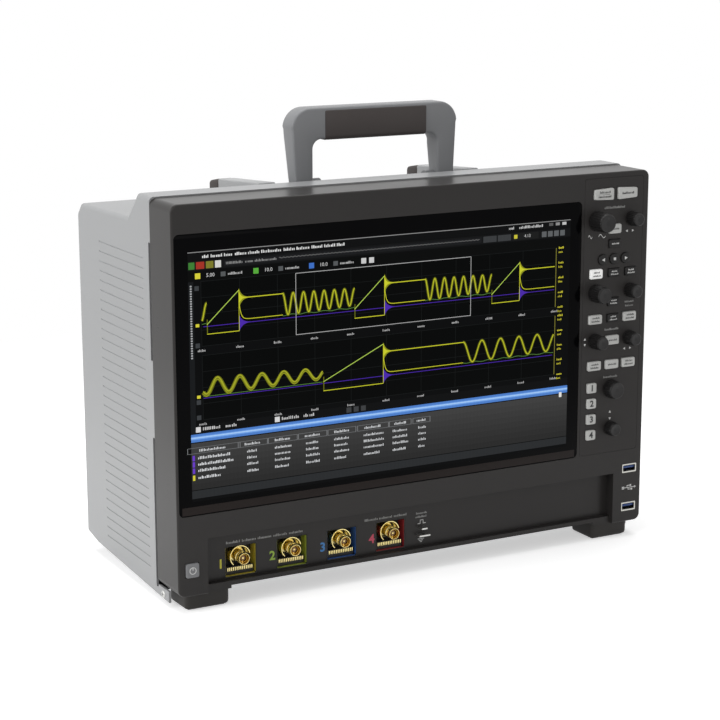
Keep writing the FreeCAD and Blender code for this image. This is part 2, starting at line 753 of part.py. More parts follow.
# ---------------------------------------------------------------- outer cover
cover_outline = [
    ("tab_front", "cover_bottom_front - 1"), ("tab_front", "bezel_bottom - 0.3"), ("bezel_depth", "bezel_bottom - 0.3"),
    ("bezel_depth", "hump_top"), ("hump_back", "hump_top"), ("deck_front", "deck_top"),
    ("case_depth - rear_corner", "deck_top - deck_drop"), ("case_depth", "deck_top - deck_drop - rear_corner"),
    ("case_depth", "cover_bottom_rear + tail_rise"), ("cover_tail", "cover_bottom_rear"),
]
cover_block = profile("cover_block", cover_outline, "-" + SIDE, "case_width")


def on_top_edge(edge):
    """The long edges where the top of the cover meets its sides."""
    centre = middle(edge)
    at_side = abs(abs(centre.x) - size("case_width") / 2) < 0.01
    return at_side and centre.z > size("deck_top") - 12 and centre.y > size("bezel_depth") + 1


cover_soft = fillet("cover_soft", cover_block, "cover_edge", on_top_edge)
hollow_outline = [
    ("tab_front - 1", "cover_bottom_front - 20"), ("tab_front - 1", "hump_top - cover_wall"),
    ("hump_back - 0.8", "hump_top - cover_wall"), ("deck_front - 0.8", "deck_top - cover_wall"),
    ("case_depth - rear_corner - 0.8", "deck_top - deck_drop - cover_wall"),
    ("case_depth - cover_wall", "deck_top - deck_drop - rear_corner - 0.8"),
    ("case_depth - cover_wall", "cover_bottom_front - 20"),
]
cover_hollow = profile("cover_hollow", hollow_outline, "-case_width/2 + cover_wall", "case_width - 2*cover_wall")
cover_cuts = [cover_hollow]
cover_cuts.append(box("rear_opening", "-rear_half", "case_depth - cover_wall - 1", "rear_low", "2*rear_half",
                      "cover_wall + 2", "rear_high - rear_low"))
for side_name, x in (("left", "-case_width/2 - 1"), ("right", "case_width/2 - cover_wall - 1")):
    for i in range(LOUVRES):
        cover_cuts.append(box("louvre_%s_%d" % (side_name, i), x, "louvre_front", "louvre_first + %d*louvre_pitch" % i,
                              "cover_wall + 2", "louvre_long", "louvre_high"))
    cover_cuts.append(box("low_gap_" + side_name, x, "bezel_depth - 0.5", "cover_bottom_front + 6", "cover_wall + 2",
                          "air_gap + 0.5", "121"))
    cover_cuts.append(box("high_gap_" + side_name, x, "bezel_depth - 0.5", "194", "cover_wall + 2",
                          "air_gap + 0.5", "92"))
part("outer_cover", cut("outer_cover", cover_soft, cover_cuts))

# ---------------------------------------------------------------- ribs on the deck

def on_deck(y):
    """Height of the sloping deck at a distance behind the front face."""
    return "(deck_top - deck_drop*((%s) - deck_front)/(case_depth - rear_corner - deck_front))" % y


rib_outline = [
    ("deck_front + 0.2", on_deck("deck_front + 0.2")), ("deck_front + 0.2", "deck_top + rib_front_high"),
    ("case_depth - rear_corner", "deck_top + rib_back_high"), ("case_depth - rear_corner", "deck_top - deck_drop"),
]
ribs = []
for side_name, x in (("left", "-rib_inner - rib_wide"), ("right", "rib_inner")):
    block = profile("rib_block_" + side_name, rib_outline, x, "rib_wide")
    ribs.append(fillet("rib_" + side_name, block, "rib_round",
                       lambda e: along(e, "x") and middle(e).y > size("case_depth") - 20 and middle(e).z > size("deck_top") + 2))
part("top_ribs", group("top_ribs", ribs))

# ---------------------------------------------------------------- handle
arch_outline = [
    ("-handle_half_low", "pivot_z - pivot_end - 2"), ("-handle_half", "handle_top"), ("handle_half", "handle_top"),
    ("handle_half_low", "pivot_z - pivot_end - 2"), ("handle_inner", "pivot_z - pivot_end - 2"),
    ("handle_inner", "bar_bottom"), ("-handle_inner", "bar_bottom"), ("-handle_inner", "pivot_z - pivot_end - 2"),
]
arch = plate("arch", arch_outline, "handle_front", "handle_deep")
arch_outer = fillet("arch_outer", arch, "handle_outer_round",
                    lambda e: along(e, "y") and middle(e).z > size("handle_top") - 0.1)
arch_inner = fillet("arch_inner", arch_outer, "handle_inner_round",
                    lambda e: along(e, "y") and abs(middle(e).z - size("bar_bottom")) < 0.1)
side_outline = [
    ("handle_front", "pivot_z"), ("handle_front", "handle_top + 1"), ("handle_front + handle_deep", "handle_top + 1"),
    ("handle_front + handle_deep", "handle_top - 30"), ("handle_front + 2*pivot_end", "pivot_z"),
]
side_view = profile("handle_side", side_outline, "-handle_half - 2", "2*handle_half + 4")
round_foot = rod("handle_round_foot", "x", "pivot_end", "2*handle_half + 4", "-handle_half - 2", "pivot_y", "pivot_z")
handle_body = common("handle_body", arch_inner, fuse("handle_limits", [side_view, round_foot]))
pin_bores = [rod("pin_bore_left", "x", "pivot_pin/2 + pivot_fit", "pivot_pin_long + 1", "-handle_inner - pivot_pin_long",
                 "pivot_y", "pivot_z"),
             rod("pin_bore_right", "x", "pivot_pin/2 + pivot_fit", "pivot_pin_long + 1", "handle_inner - 1", "pivot_y",
                 "pivot_z")]
grooves = [box("groove_left", "-grip_half - grip_groove", "handle_front - 1", "bar_bottom - 1", "grip_groove", "1.8",
               "handle_top - bar_bottom + 2"),
           box("groove_right", "grip_half", "handle_front - 1", "bar_bottom - 1", "grip_groove", "1.8",
               "handle_top - bar_bottom + 2")]
part("handle_frame", cut("handle_frame", handle_body, pin_bores + grooves))

grip_block = box("grip_block", "-grip_half", "handle_front - grip_thick", "bar_bottom - grip_thick", "2*grip_half",
                 "handle_deep + 2*grip_thick", "grip_top - bar_bottom + grip_thick")
grip_soft = fillet("grip_soft", grip_block, "grip_thick", lambda e: along(e, "x") and middle(e).z < size("bar_bottom"))
grip_inside = box("grip_inside", "-grip_half - 1", "handle_front", "bar_bottom", "2*grip_half + 2", "handle_deep",
                  "handle_top - bar_bottom + 5")
part("handle_grip", cut("handle_grip", grip_soft, [grip_inside]))

hubs = []
for side_name, side in (("left", -1), ("right", 1)):
    inner = "handle_inner - pivot_gap - hub_wide"
    low_x = inner if side > 0 else "-handle_inner + pivot_gap"
    post = box("hub_post_" + side_name, low_x, "deck_front + 0.8", "deck_top", "hub_wide",
               "pivot_y + pivot_end - deck_front - 0.8", "pivot_z - deck_top")
    head = rod("hub_head_" + side_name, "x", "pivot_end", "hub_wide", low_x, "pivot_y", "pivot_z")
    pin_x = inner if side > 0 else "-handle_inner - pivot_pin_long + 1"
    pin = rod("hub_pin_" + side_name, "x", "pivot_pin/2", "hub_wide + pivot_gap + pivot_pin_long - 1", pin_x, "pivot_y",
              "pivot_z")
    hubs.append(fuse("hub_" + side_name, [post, head, pin]))
part("handle_hubs", group("handle_hubs", hubs))

# ---------------------------------------------------------------- feet
front_feet = []
rear_feet = []
for side_name, side in (("left", -1), ("right", 1)):
    low_x = "foot_outer - foot_wide" if side > 0 else "-foot_outer"
    block = box("front_foot_block_" + side_name, low_x, "foot_front", "0", "foot_wide", "foot_long", "bezel_bottom")
    front_feet.append(fillet("front_foot_" + side_name, block, "foot_round", lambda e: along(e, "z")))
    low_x = "rear_foot_outer - rear_foot_wide" if side > 0 else "-rear_foot_outer"
    sole = box("rear_sole_" + side_name, low_x, "rear_foot_front", "0", "rear_foot_wide",
               "(case_depth + rear_foot_past) - rear_foot_front", "rear_foot_level")
    heel = box("rear_heel_" + side_name, low_x, "case_depth + rear_foot_gap", "0", "rear_foot_wide",
               "(case_depth + rear_foot_past) - case_depth - rear_foot_gap", "rear_foot_high")
    joined = fuse("rear_foot_joined_" + side_name, [sole, heel])
    rear_feet.append(fillet("rear_foot_" + side_name, joined, "foot_round",
                            lambda e: along(e, "x") and middle(e).y > (size("case_depth") + size("rear_foot_past")) - 0.1 and middle(e).z > 1))
part("front_feet", group("front_feet", front_feet))
part("rear_feet", group("rear_feet", rear_feet))

# ---------------------------------------------------------------- bottom pan and chassis
PAN_RISE = "(cover_bottom_rear - cover_bottom_front)"
pan_outline = [
    ("bezel_depth + 0.3", "pan_level"), ("cover_tail", "pan_level + %s" % PAN_RISE),
    ("case_depth - cover_wall", "pan_level + %s + tail_rise" % PAN_RISE),
    ("case_depth - cover_wall", "pan_level + %s + tail_rise + sheet" % PAN_RISE),
    ("cover_tail", "pan_level + %s + sheet" % PAN_RISE), ("bezel_depth + 0.3", "pan_level + sheet"),
]
part("bottom_pan", profile("bottom_pan", pan_outline, "-case_width/2 + cover_wall", "case_width - 2*cover_wall"))
tray = box("tray", "-tray_half", "tray_front", "tray_level", "2*tray_half",
           "case_depth - cover_wall - tray_front", "sheet")
chassis_pieces = [tray]
chassis_pieces.append(box("rear_flange", "-tray_half", "case_depth - cover_wall - sheet", "tray_level", "2*tray_half",
                          "sheet", "rear_high + 2 - tray_level"))
for side_name, x in (("left", "-tray_half"), ("right", "tray_half - sheet")):
    chassis_pieces.append(box("tray_wall_" + side_name, x, "tray_front", "tray_level", "sheet",
                              "case_depth - cover_wall - tray_front", "tray_side - tray_level"))
chassis_pieces.append(box("bulkhead", "-tray_half", "tray_front", "bay_top + bezel_wall", "2*tray_half", "sheet",
                          "rear_high - bay_top - bezel_wall"))
for i, x in enumerate(("-tray_half", "-main_board_left + 260", "tray_half - 12")):
    chassis_pieces.append(box("post_%d" % i, x, "tray_front", "board_level + 8", "12", "sheet",
                              "bay_top + bezel_wall - board_level - 8"))
chassis_pieces.append(box("shelf", "supply_left - 5", "supply_front - 4", "supply_low - sheet", "tray_half - supply_left + 5",
                          "case_depth - cover_wall - supply_front + 4", "sheet"))
for i, x in enumerate(("-190", "-20", "135")):
    for j, y in enumerate(("tray_front + 12", "main_board_back - 12")):
        chassis_pieces.append(rod("standoff_%d_%d" % (i, j), "z", "3.5", "board_level - tray_level", x, y, "tray_level"))
chassis_body = fuse("chassis_body", chassis_pieces)
chassis_cuts = [
    box("rear_clear", "-rear_half + flange", "case_depth - cover_wall - sheet - 1", "rear_low + flange",
        "2*(rear_half - flange)", "sheet + 2", "rear_high - rear_low - 2*flange"),
    rod("cable_pass", "y", "20", "sheet + 2", "-60", "tray_front - 1", "180"),
    rod("cable_pass_small", "y", "12", "sheet + 2", "150", "tray_front - 1", "150"),
]
chassis_cuts += [box("post_gap_low", "-tray_half + sheet", "tray_front - 1", "tray_level + sheet", "4", "sheet + 2", "4")]
part("chassis", cut("chassis", chassis_body, chassis_cuts))

# ---------------------------------------------------------------- boards and supply
main_board = box("main_board_slab", "-main_board_left", "main_board_front", "board_level",
                 "main_board_left + main_board_right", "main_board_back - main_board_front", "board_thick")
sink_base = box("sink_base", "-110", "70", "board_level + board_thick", "80", "80", "4")
fins = [box("fin_%d" % i, "-110 + %d*7" % i, "70", "board_level + board_thick + 3", "2", "80", "22") for i in range(12)]
part("main_board", fuse("main_board", [main_board, sink_base] + fins))
part("power_supply", box("power_supply", "supply_left", "supply_front", "supply_low", "supply_right - supply_left",
                         "supply_back - supply_front", "supply_high - supply_low"))

# ---------------------------------------------------------------- fan
FAN_X = "(-fan_x)"
FAN_BACK = "(case_depth - cover_wall)"
frame_block = key_box("fan_block", FAN_X, "fan_z", "fan_size", "fan_size", "0", FAN_BACK + " - fan_deep", "fan_deep")
frame_bore = rod("fan_frame_bore", "y", "fan_bore/2", "fan_deep + 2", FAN_X, FAN_BACK + " - fan_deep - 1", "fan_z")
fan_ring = cut("fan_ring", frame_block, [frame_bore])
fan_core = rod("fan_core", "y", "fan_hub/2", "4", FAN_X, FAN_BACK + " - 4", "fan_z")
spindle = rod("fan_spindle_bar", "y", "fan_spindle/2", "fan_deep - 4", FAN_X, FAN_BACK + " - fan_deep + 2", "fan_z")
struts = [box("fan_strut_%d" % i, x, FAN_BACK + " - 4", z, a, "3", b) for i, (x, z, a, b) in enumerate((
    (FAN_X + " - fan_size/2 + 1", "fan_z - 2", "fan_size - 2", "4"),
    (FAN_X + " - 2", "fan_z - fan_size/2 + 1", "4", "fan_size - 2")))]
part("fan_frame", fuse("fan_frame", [fan_ring, fan_core, spindle] + struts))
rotor_hub = rod("rotor_hub", "y", "fan_hub/2", "fan_deep - 8", FAN_X, FAN_BACK + " - fan_deep + 3", "fan_z")
blades = []
for i in range(FAN_BLADES):
    angle = 360.0 * i / FAN_BLADES
    blade = doc.addObject("Part::Box", "blade_%d" % i)
    bind(blade, "Length", "fan_tip/2 - 10")
    bind(blade, "Width", "fan_deep - 12")
    blade.Height = 2
    blade.Placement = FreeCAD.Placement(FreeCAD.Vector(), FreeCAD.Rotation(FreeCAD.Vector(0, 1, 0), angle))
    reach = 10 * math.cos(math.radians(angle))
    drop = -10 * math.sin(math.radians(angle))
    place(blade, FAN_X + " + %.4f" % reach, FAN_BACK + " - fan_deep + 5", "fan_z + %.4f" % drop)
    blades.append(blade)
rotor_bore = rod("rotor_bore", "y", "fan_spindle/2 + fan_spindle_fit", "fan_deep", FAN_X, FAN_BACK + " - fan_deep", "fan_z")
part("fan_rotor", cut("fan_rotor", fuse("rotor_body", [rotor_hub] + blades), [rotor_bore]))

# ---------------------------------------------------------------- rear panel and sockets
REAR_FACE = "(case_depth - cover_wall)"
rear_slab = box("rear_slab", "-rear_half + rear_fit", REAR_FACE, "rear_low + rear_fit", "2*(rear_half - rear_fit)",
                "sheet", "rear_high - rear_low - 2*rear_fit")
rear_cuts = []
for i in range(-4, 5):
    wide = math.sqrt(1 - (i / 4.8) ** 2)
    rear_cuts.append(box("fan_slot_%d" % (i + 4), FAN_X + " - fan_bore/2*%.4f" % wide, REAR_FACE + " - 1",
                         "fan_z + (%d)*vent_pitch - vent_high/2" % i, "fan_bore*%.4f" % wide, "sheet + 2", "vent_high"))
for i in range(14):
    rear_cuts.append(box("vent_slot_%d" % i, "20", REAR_FACE + " - 1", "150 + %d*vent_pitch" % i, "160", "sheet + 2",
                         "vent_high - 1"))
rear_cuts.append(key_box("inlet_cut", "inlet_x", "inlet_z", "inlet_wide", "inlet_high", "0.1", REAR_FACE + " - 1",
                         "sheet + 2"))
inlet_block = key_box("inlet_block", "inlet_x", "inlet_z", "inlet_wide", "inlet_high", "0",
                      REAR_FACE + " + sheet - inlet_deep", "inlet_deep")
inlet_flange = key_box("inlet_flange", "inlet_x", "inlet_z", "inlet_wide + 6", "inlet_high + 4", "0",
                       REAR_FACE + " + sheet", "1.2")
inlet_hollow = key_box("inlet_hollow", "inlet_x", "inlet_z", "inlet_open", "inlet_open_high", "0",
                       REAR_FACE + " + sheet - inlet_deep + 2", "inlet_deep + 4")
blades_in = [key_box("inlet_blade_%d" % i, "(inlet_x + (%s))" % dx, "(inlet_z + (%s))" % dz, "2", "4", "0",
                     REAR_FACE + " + sheet - inlet_deep + 1", "inlet_deep - inlet_pin_short")
             for i, (dx, dz) in enumerate((("-7", "-1.5"), ("0", "2"), ("7", "-1.5")))]
inlet_shell = cut("inlet_shell", fuse("inlet_body", [inlet_block, inlet_flange]), [inlet_hollow])
part("power_inlet", fuse("power_inlet", [inlet_shell] + blades_in))

ports = []
PORT_KINDS = (("lan", "-150", "16", "14", "12", "7.5"), ("video", "-110", "19", "8", "15", "5.2"),
              ("device", "-75", "13", "12", "8.6", "8"), ("host_left", "-45", "15", "8", "12.6", "5.2"),
              ("host_right", "-20", "15", "8", "12.6", "5.2"))
for name, x, wide, high, open_wide, open_high in PORT_KINDS:
    shell = key_box("port_%s_shell" % name, x, "port_z", wide, high, "0", REAR_FACE + " + sheet + 0.4 - port_deep", "port_deep")
    hollow = key_box("port_%s_hollow" % name, x, "port_z", open_wide, open_high, "0",
                     REAR_FACE + " + sheet + 0.4 - port_deep + 1.5", "port_deep")
    ports.append(cut("port_" + name, shell, [hollow]))
    rear_cuts.append(key_box("port_%s_cut" % name, x, "port_z", wide, high, "0.1", REAR_FACE + " - 1", "sheet + 2"))
for i, x in enumerate(("20", "45", "70")):
    neck = rod("aux_neck_%d" % i, "y", "jack_neck/2", "10", x, REAR_FACE + " + sheet - 10", "port_z")
    barrel = rod("aux_barrel_%d" % i, "y", "jack_barrel/2", "9", x, REAR_FACE + " + sheet - 0.5", "port_z")
    bore = rod("aux_bore_%d" % i, "y", "jack_bore/2", "8", x, REAR_FACE + " + sheet + 1.5", "port_z")
    ports.append(cut("aux_%d" % i, fuse("aux_body_%d" % i, [neck, barrel]), [bore]))
    rear_cuts.append(rod("aux_cut_%d" % i, "y", "jack_neck/2 + 0.1", "sheet + 2", x, REAR_FACE + " - 1", "port_z"))
part("rear_connectors", group("rear_connectors", ports))
part("rear_panel", cut("rear_panel", rear_slab, rear_cuts))

# ---------------------------------------------------------------- screws
screws = []
for side_name, x in (("left", "-case_width/2 - screw_head_high"), ("right", "case_width/2")):
    screws.append(rod("tab_screw_" + side_name, "x", "screw_head/2", "screw_head_high", x, "31", "8.5"))
for i, x in enumerate(("-rear_half + 5", "rear_half - 5")):
    for j, z in enumerate(("rear_low + 6", "rear_high - 6")):
        screws.append(rod("rear_screw_%d_%d" % (i, j), "y", "screw_head/2", "screw_head_high", x,
                          REAR_FACE + " + sheet", z))
part("cover_screws", group("cover_screws", screws))

# ---------------------------------------------------------------- build, check and write
doc.recompute()
for item in doc.Objects:
    bad = [word for word in ("Invalid", "Error") if word in item.State]
    if bad:
        raise RuntimeError("%s is %s" % (item.Name, bad))
for node, item in PARTS.items():
    shape = item.Shape
    if shape.isNull() or not shape.isValid() or not shape.Solids:
        raise RuntimeError("%s has no sound shape" % node)
for node, item in PARTS.items():
    item.Shape.exportStep("parts/%s.step" % node)
    print(node, len(item.Shape.Solids), round(item.Shape.Volume, 1))
print("nodes:", len(PARTS))
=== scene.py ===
"""Looks of a bench oscilloscope with a wide touch display and a folding handle.

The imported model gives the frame.  Lengths below are millimetres, with X to the right,
Y counted backwards from the front face and Z up from the table.
"""
from __future__ import annotations

import logging
import math
from dataclasses import dataclass, field
from enum import Enum
from typing import Callable, Sequence

import bpy
import numpy as np
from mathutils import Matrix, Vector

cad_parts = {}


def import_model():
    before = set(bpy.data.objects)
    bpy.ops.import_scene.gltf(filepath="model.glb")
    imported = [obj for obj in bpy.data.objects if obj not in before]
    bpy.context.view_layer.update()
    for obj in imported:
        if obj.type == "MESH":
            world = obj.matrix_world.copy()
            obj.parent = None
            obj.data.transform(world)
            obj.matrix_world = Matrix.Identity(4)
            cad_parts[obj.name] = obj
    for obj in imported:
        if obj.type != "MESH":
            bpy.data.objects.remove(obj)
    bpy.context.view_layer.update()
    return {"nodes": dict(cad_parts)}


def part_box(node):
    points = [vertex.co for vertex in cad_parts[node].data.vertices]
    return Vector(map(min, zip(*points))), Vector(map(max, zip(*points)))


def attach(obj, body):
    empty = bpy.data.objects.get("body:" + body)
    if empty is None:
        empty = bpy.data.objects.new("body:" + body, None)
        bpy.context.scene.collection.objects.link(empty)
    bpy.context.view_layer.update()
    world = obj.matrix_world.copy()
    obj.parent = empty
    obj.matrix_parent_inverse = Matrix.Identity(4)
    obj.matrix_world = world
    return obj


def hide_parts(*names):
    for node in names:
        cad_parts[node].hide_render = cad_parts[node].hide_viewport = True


LOG = logging.getLogger("oscilloscope")
MM = 0.001
# Edges steeper than this many degrees stay sharp.
SHARP_DEGREES = 40.0
# Thickness of pad printed ink, drawn thicker than real so that it stands clear of its base.
INK_THICK = 0.14
CHANNEL_PITCH = 45.0
Outline = Callable[[float], np.ndarray]
Point = tuple[float, float, float]
Profile = Sequence[tuple[float, float]]


# ------------------------------------------------------------------ colour and nodes
def linear(code: str) -> tuple[float, float, float, float]:
    """Turn an sRGB hex colour into linear light.

    Args:
        code: six hex digits after a hash.

    Returns:
        Linear red, green and blue, and full alpha.
    """
    values = [int(code[i:i + 2], 16) / 255 for i in (1, 3, 5)]
    return tuple(v / 12.92 if v <= 0.04045 else ((v + 0.055) / 1.055) ** 2.4 for v in values) + (1.0,)


def add(tree: bpy.types.NodeTree, kind: str, links: dict | None = None, **settings) -> bpy.types.Node:
    """Add one node with its settings, values and links.

    Args:
        tree: the material's node tree.
        kind: the node type after "ShaderNode".
        links: socket name or index to a value, or to an output socket.
        settings: properties of the node.

    Returns:
        The new node.
    """
    node = tree.nodes.new("ShaderNode" + kind)
    for key, value in settings.items():
        setattr(node, key, value)
    for key, value in (links or {}).items():
        if isinstance(value, bpy.types.NodeSocket):
            tree.links.new(value, node.inputs[key])
        else:
            node.inputs[key].default_value = value
    return node


def new_tree(owner: bpy.types.Material | bpy.types.World) -> bpy.types.NodeTree:
    """Give a material or a world an empty node tree."""
    owner.use_nodes = True
    owner.node_tree.nodes.clear()
    return owner.node_tree


class Texture(Enum):
    """How a surface was made, which sets its relief."""

    SPARK_ERODED = "moulded with a fine matt grain"
    POWDER_COAT = "sprayed powder, melted to a soft orange peel"
    BRUSHED = "drawn along X with fine scratches"
    PLATED = "smooth plating over turned metal"
    POLISHED = "polished or floated"
    SOFT_TOUCH = "soft overmoulded rubber"


@dataclass(frozen=True)
class Finish:
    """A real material and how its surface was made."""

    name: str
    colour: str
    texture: Texture
    rough: float = 0.5
    metallic: float = 0.0
    grain: float = 0.6
    relief: float = 0.25
    mottle: float = 0.06
    ior: float = 1.5
    specular: float = 0.5
    lit: str = ""
    lit_strength: float = 0.0

    def build(self) -> bpy.types.Material:
        """Make the material: a grain of real size drives colour, roughness and bump.

        Returns:
            The finished material.
        """
        found = bpy.data.materials.get(self.name)
        if found:
            return found
        material = bpy.data.materials.new(self.name)
        tree = new_tree(material)
        place = add(tree, "TexCoord").outputs["Object"]
        stretch = (1.0, 1.0, 1.0)
        if self.texture is Texture.BRUSHED:
            stretch = (0.03, 1.0, 1.0)
        mapped = add(tree, "Mapping", {"Vector": place, "Scale": stretch}).outputs["Vector"]
        # One noise cell is about one grain across: 1000 mm to the metre over the grain's size.
        fine = add(tree, "TexNoise", {"Vector": mapped, "Scale": 1000 / self.grain, "Detail": 3.0,
                                      "Roughness": 0.6}).outputs["Fac"]
        # Handling and dust change the colour slowly, over some 60 mm.
        slow = add(tree, "TexNoise", {"Vector": place, "Scale": 1000 / 60, "Detail": 4.0}).outputs["Fac"]
        base = linear(self.colour)
        dark = tuple(c * (1 - self.mottle) for c in base[:3]) + (1.0,)
        light = tuple(min(1.0, c * (1 + self.mottle)) for c in base[:3]) + (1.0,)
        both = add(tree, "Math", {0: fine, 1: slow}, operation="ADD").outputs[0]
        share = add(tree, "MapRange", {"Value": both, "From Min": 0.6, "From Max": 1.4}).outputs["Result"]
        tone = self._mix(tree, share, dark, light)
        rough = add(tree, "MapRange", {"Value": both, "From Min": 0.6, "From Max": 1.4,
                                       "To Min": max(0.02, self.rough * 0.88),
                                       "To Max": min(1.0, self.rough * 1.12)}).outputs["Result"]
        # The relief is a share of the grain's own size.
        bump = add(tree, "Bump", {"Height": fine, "Strength": self.relief,
                                  "Distance": self.grain * MM * 0.25}).outputs["Normal"]
        shader = add(tree, "BsdfPrincipled", {"Base Color": tone, "Roughness": rough, "Normal": bump,
                                              "Metallic": self.metallic, "IOR": self.ior,
                                              "Specular IOR Level": self.specular})
        if self.lit:
            shader.inputs["Emission Color"].default_value = linear(self.lit)
            shader.inputs["Emission Strength"].default_value = self.lit_strength
        add(tree, "OutputMaterial", {"Surface": shader.outputs[0]})
        material.diffuse_color = base
        return material

    @staticmethod
    def _mix(tree: bpy.types.NodeTree, share: bpy.types.NodeSocket, low: tuple,
             high: tuple) -> bpy.types.NodeSocket:
        """Blend two colours by a share and return the colour socket."""
        mixer = add(tree, "Mix", data_type="RGBA")
        tree.links.new(share, mixer.inputs[0])
        mixer.inputs[6].default_value = low
        mixer.inputs[7].default_value = high
        return mixer.outputs[2]


def key_rubber(name: str, colour: str, **more: float | str) -> Finish:
    """Silicone of the key caps, sprayed and satin."""
    settings = {"relief": 0.08, **more}
    return Finish("silicone_key_" + name, colour, Texture.SOFT_TOUCH, 0.45, grain=0.6, **settings)


def ink(name: str, colour: str, rough: float = 0.5) -> Finish:
    """Ink, pad printed on the front and on the keys."""
    return Finish("pad_print_" + name, colour, Texture.SPARK_ERODED, rough, grain=0.3, relief=0.05)


def channel_plastic(name: str, colour: str) -> Finish:
    """Coloured polyester that lines one channel's pocket."""
    return Finish("pbt_channel_" + name, colour, Texture.SPARK_ERODED, 0.42, grain=0.6, relief=0.12)


# Moulded ABS with a matt spark-eroded grain: the warm charcoal front.
ABS_CHARCOAL = Finish("abs_charcoal_moulded", "#2E2C2B", Texture.SPARK_ERODED, 0.30, grain=0.5,
                      relief=0.07, specular=0.2)
# The same ABS behind the keys, with a rougher and more even grain.
ABS_PANEL = Finish("abs_panel_moulded", "#2D2B2A", Texture.SPARK_ERODED, 0.50, grain=0.5, relief=0.14,
                   specular=0.22)
# Powder-coated aluminium sheet: pale grey, soft highlights, faint orange peel.
POWDER_GREY = Finish("powder_coated_aluminium", "#959697", Texture.POWDER_COAT, 0.34, grain=1.4,
                     relief=0.03, mottle=0.02)
# Glass-filled nylon of the handle: mid grey and satin.
NYLON_GREY = Finish("nylon_satin_grey", "#7D7E80", Texture.SPARK_ERODED, 0.42, grain=0.7, relief=0.12,
                    mottle=0.04)
# Soft thermoplastic rubber on the grip and the rib ends: brown black, matt.
SOFT_RUBBER = Finish("soft_rubber_brown_black", "#383230", Texture.SOFT_TOUCH, 0.66, grain=0.8, relief=0.3)
# Thermoplastic elastomer of the knobs' skirts, near black and satin, and their moulded caps.
KNOB_RUBBER = Finish("knob_rubber_charcoal", "#181717", Texture.SOFT_TOUCH, 0.42, grain=0.5, relief=0.16,
                     specular=0.3)
KNOB_CAP = Finish("knob_cap_abs", "#201F1F", Texture.SPARK_ERODED, 0.36, grain=0.4, relief=0.1,
                  specular=0.3)
# Key caps: pale, charcoal, and the one that is lit from behind.
KEY_LIGHT = key_rubber("light_grey", "#C2C2BF", mottle=0.03)
KEY_DARK = key_rubber("charcoal", "#1B1A1A", specular=0.25)
KEY_LIT = key_rubber("lit", "#E8E8E6", relief=0.05, mottle=0.02, lit="#FFFFFF", lit_strength=0.25)
KEY_POWER = Finish("silicone_power_key", "#77787A", Texture.SOFT_TOUCH, 0.4, grain=0.6, relief=0.08)
INK_LIGHT = ink("light", "#D6D6D4", 0.55)
INK_GREY = ink("grey", "#8F8F8D", 0.55)
# The dark ink is print on the light keys and the knobs' pointers, and painted shade in the screws' cross
# recesses and the tongues' holes.
DARK_INK_AND_PAINTED_SHADE = ink("dark", "#1E1E1E", 0.55)
CHANNEL_INKS = (ink("yellow", "#C9C23A"), ink("green", "#8FAE3F"), ink("blue", "#3E7CB8"),
                ink("red", "#C4485E"))
CHANNEL_COLOURS = (channel_plastic("yellow", "#B3A332"), channel_plastic("green", "#93A236"),
                   channel_plastic("blue", "#30589C"), channel_plastic("red", "#8C242C"))
# Float glass printed black behind and coated against glare: deep black, with weak reflections.
TOUCH_GLASS = Finish("float_glass_black_border", "#050506", Texture.POLISHED, 0.09, grain=20.0, relief=0.0,
                     mottle=0.1, ior=1.52, specular=0.03)
# Ceramic ink fired on the glass under the picture, a little paler than the glass.
BORDER_PRINT = Finish("ceramic_ink_border", "#231D1B", Texture.POLISHED, 0.3, grain=0.5, relief=0.0,
                      specular=0.1)
# Gold flash on brass: warm and smooth, with faint turning marks; its darker copy inside the jacks is painted
# shade.
GOLD = Finish("gold_plated_brass", "#F2E09A", Texture.PLATED, 0.26, 1.0, grain=0.5, relief=0.1, mottle=0.08)
GOLD_PAINTED_SHADE = Finish("gold_plated_brass_painted_shade", "#C79A3C", Texture.PLATED, 0.30, 1.0, grain=0.5, relief=0.1,
                   mottle=0.1)
# Nickel on brass for the sockets at the back and the shells of the data sockets.
NICKEL = Finish("nickel_plated_brass", "#B9B8B2", Texture.PLATED, 0.28, 1.0, grain=0.5, relief=0.08)
# Tinned steel of the screws, the tongues and the knobs' shafts.
TIN = Finish("tin_plated_steel", "#C6C6C3", Texture.PLATED, 0.32, 1.0, grain=0.8, relief=0.1)
# Zinc-plated sheet of the bottom pan, the chassis and the boxes inside.
ZINC_SHEET = Finish("zinc_plated_sheet", "#8E9092", Texture.BRUSHED, 0.42, 1.0, grain=0.8, relief=0.08,
                    mottle=0.1)
# Powder coat of the rear panel, coarser and duller than the cover's.
REAR_COAT = Finish("powder_coated_rear_panel", "#9C9C99", Texture.POWDER_COAT, 0.5, grain=1.2, relief=0.14,
                   mottle=0.03)
# Plastics of the connectors: black and blue polyester, and the brown insulator of the jacks.
BLACK_PBT = Finish("pbt_black_moulded", "#161616", Texture.SPARK_ERODED, 0.5, grain=0.5, relief=0.2)
BLUE_PBT = Finish("pbt_blue_tongue", "#1D3F7C", Texture.POLISHED, 0.4, grain=0.6, relief=0.05)
PEEK = Finish("peek_natural_brown", "#7A5A36", Texture.POLISHED, 0.4, grain=1.0, relief=0.05, mottle=0.02)
# Glass-epoxy circuit board under green solder resist.
FR4 = Finish("fr4_green_solder_resist", "#1E4A2C", Texture.POLISHED, 0.35, grain=2.0, relief=0.1, mottle=0.15)
# Moulded feet with nitrile rubber pads.
FOOT_ABS = Finish("abs_foot_charcoal", "#32302E", Texture.SPARK_ERODED, 0.5, grain=0.7, relief=0.18,
                  specular=0.22)
FOOT_PAD = Finish("nitrile_pad_black", "#1B1B1B", Texture.SOFT_TOUCH, 0.75, grain=0.8, relief=0.3)
# Pale strips that fill the louvres, a little paler than the cover: painted light that hides the shade in the
# slots.
LOUVRE_FILL_PAINTED_LIGHT = Finish("louvre_fill_painted_light", "#9EA0A1", Texture.SOFT_TOUCH, 0.7, grain=0.7, relief=0.3)


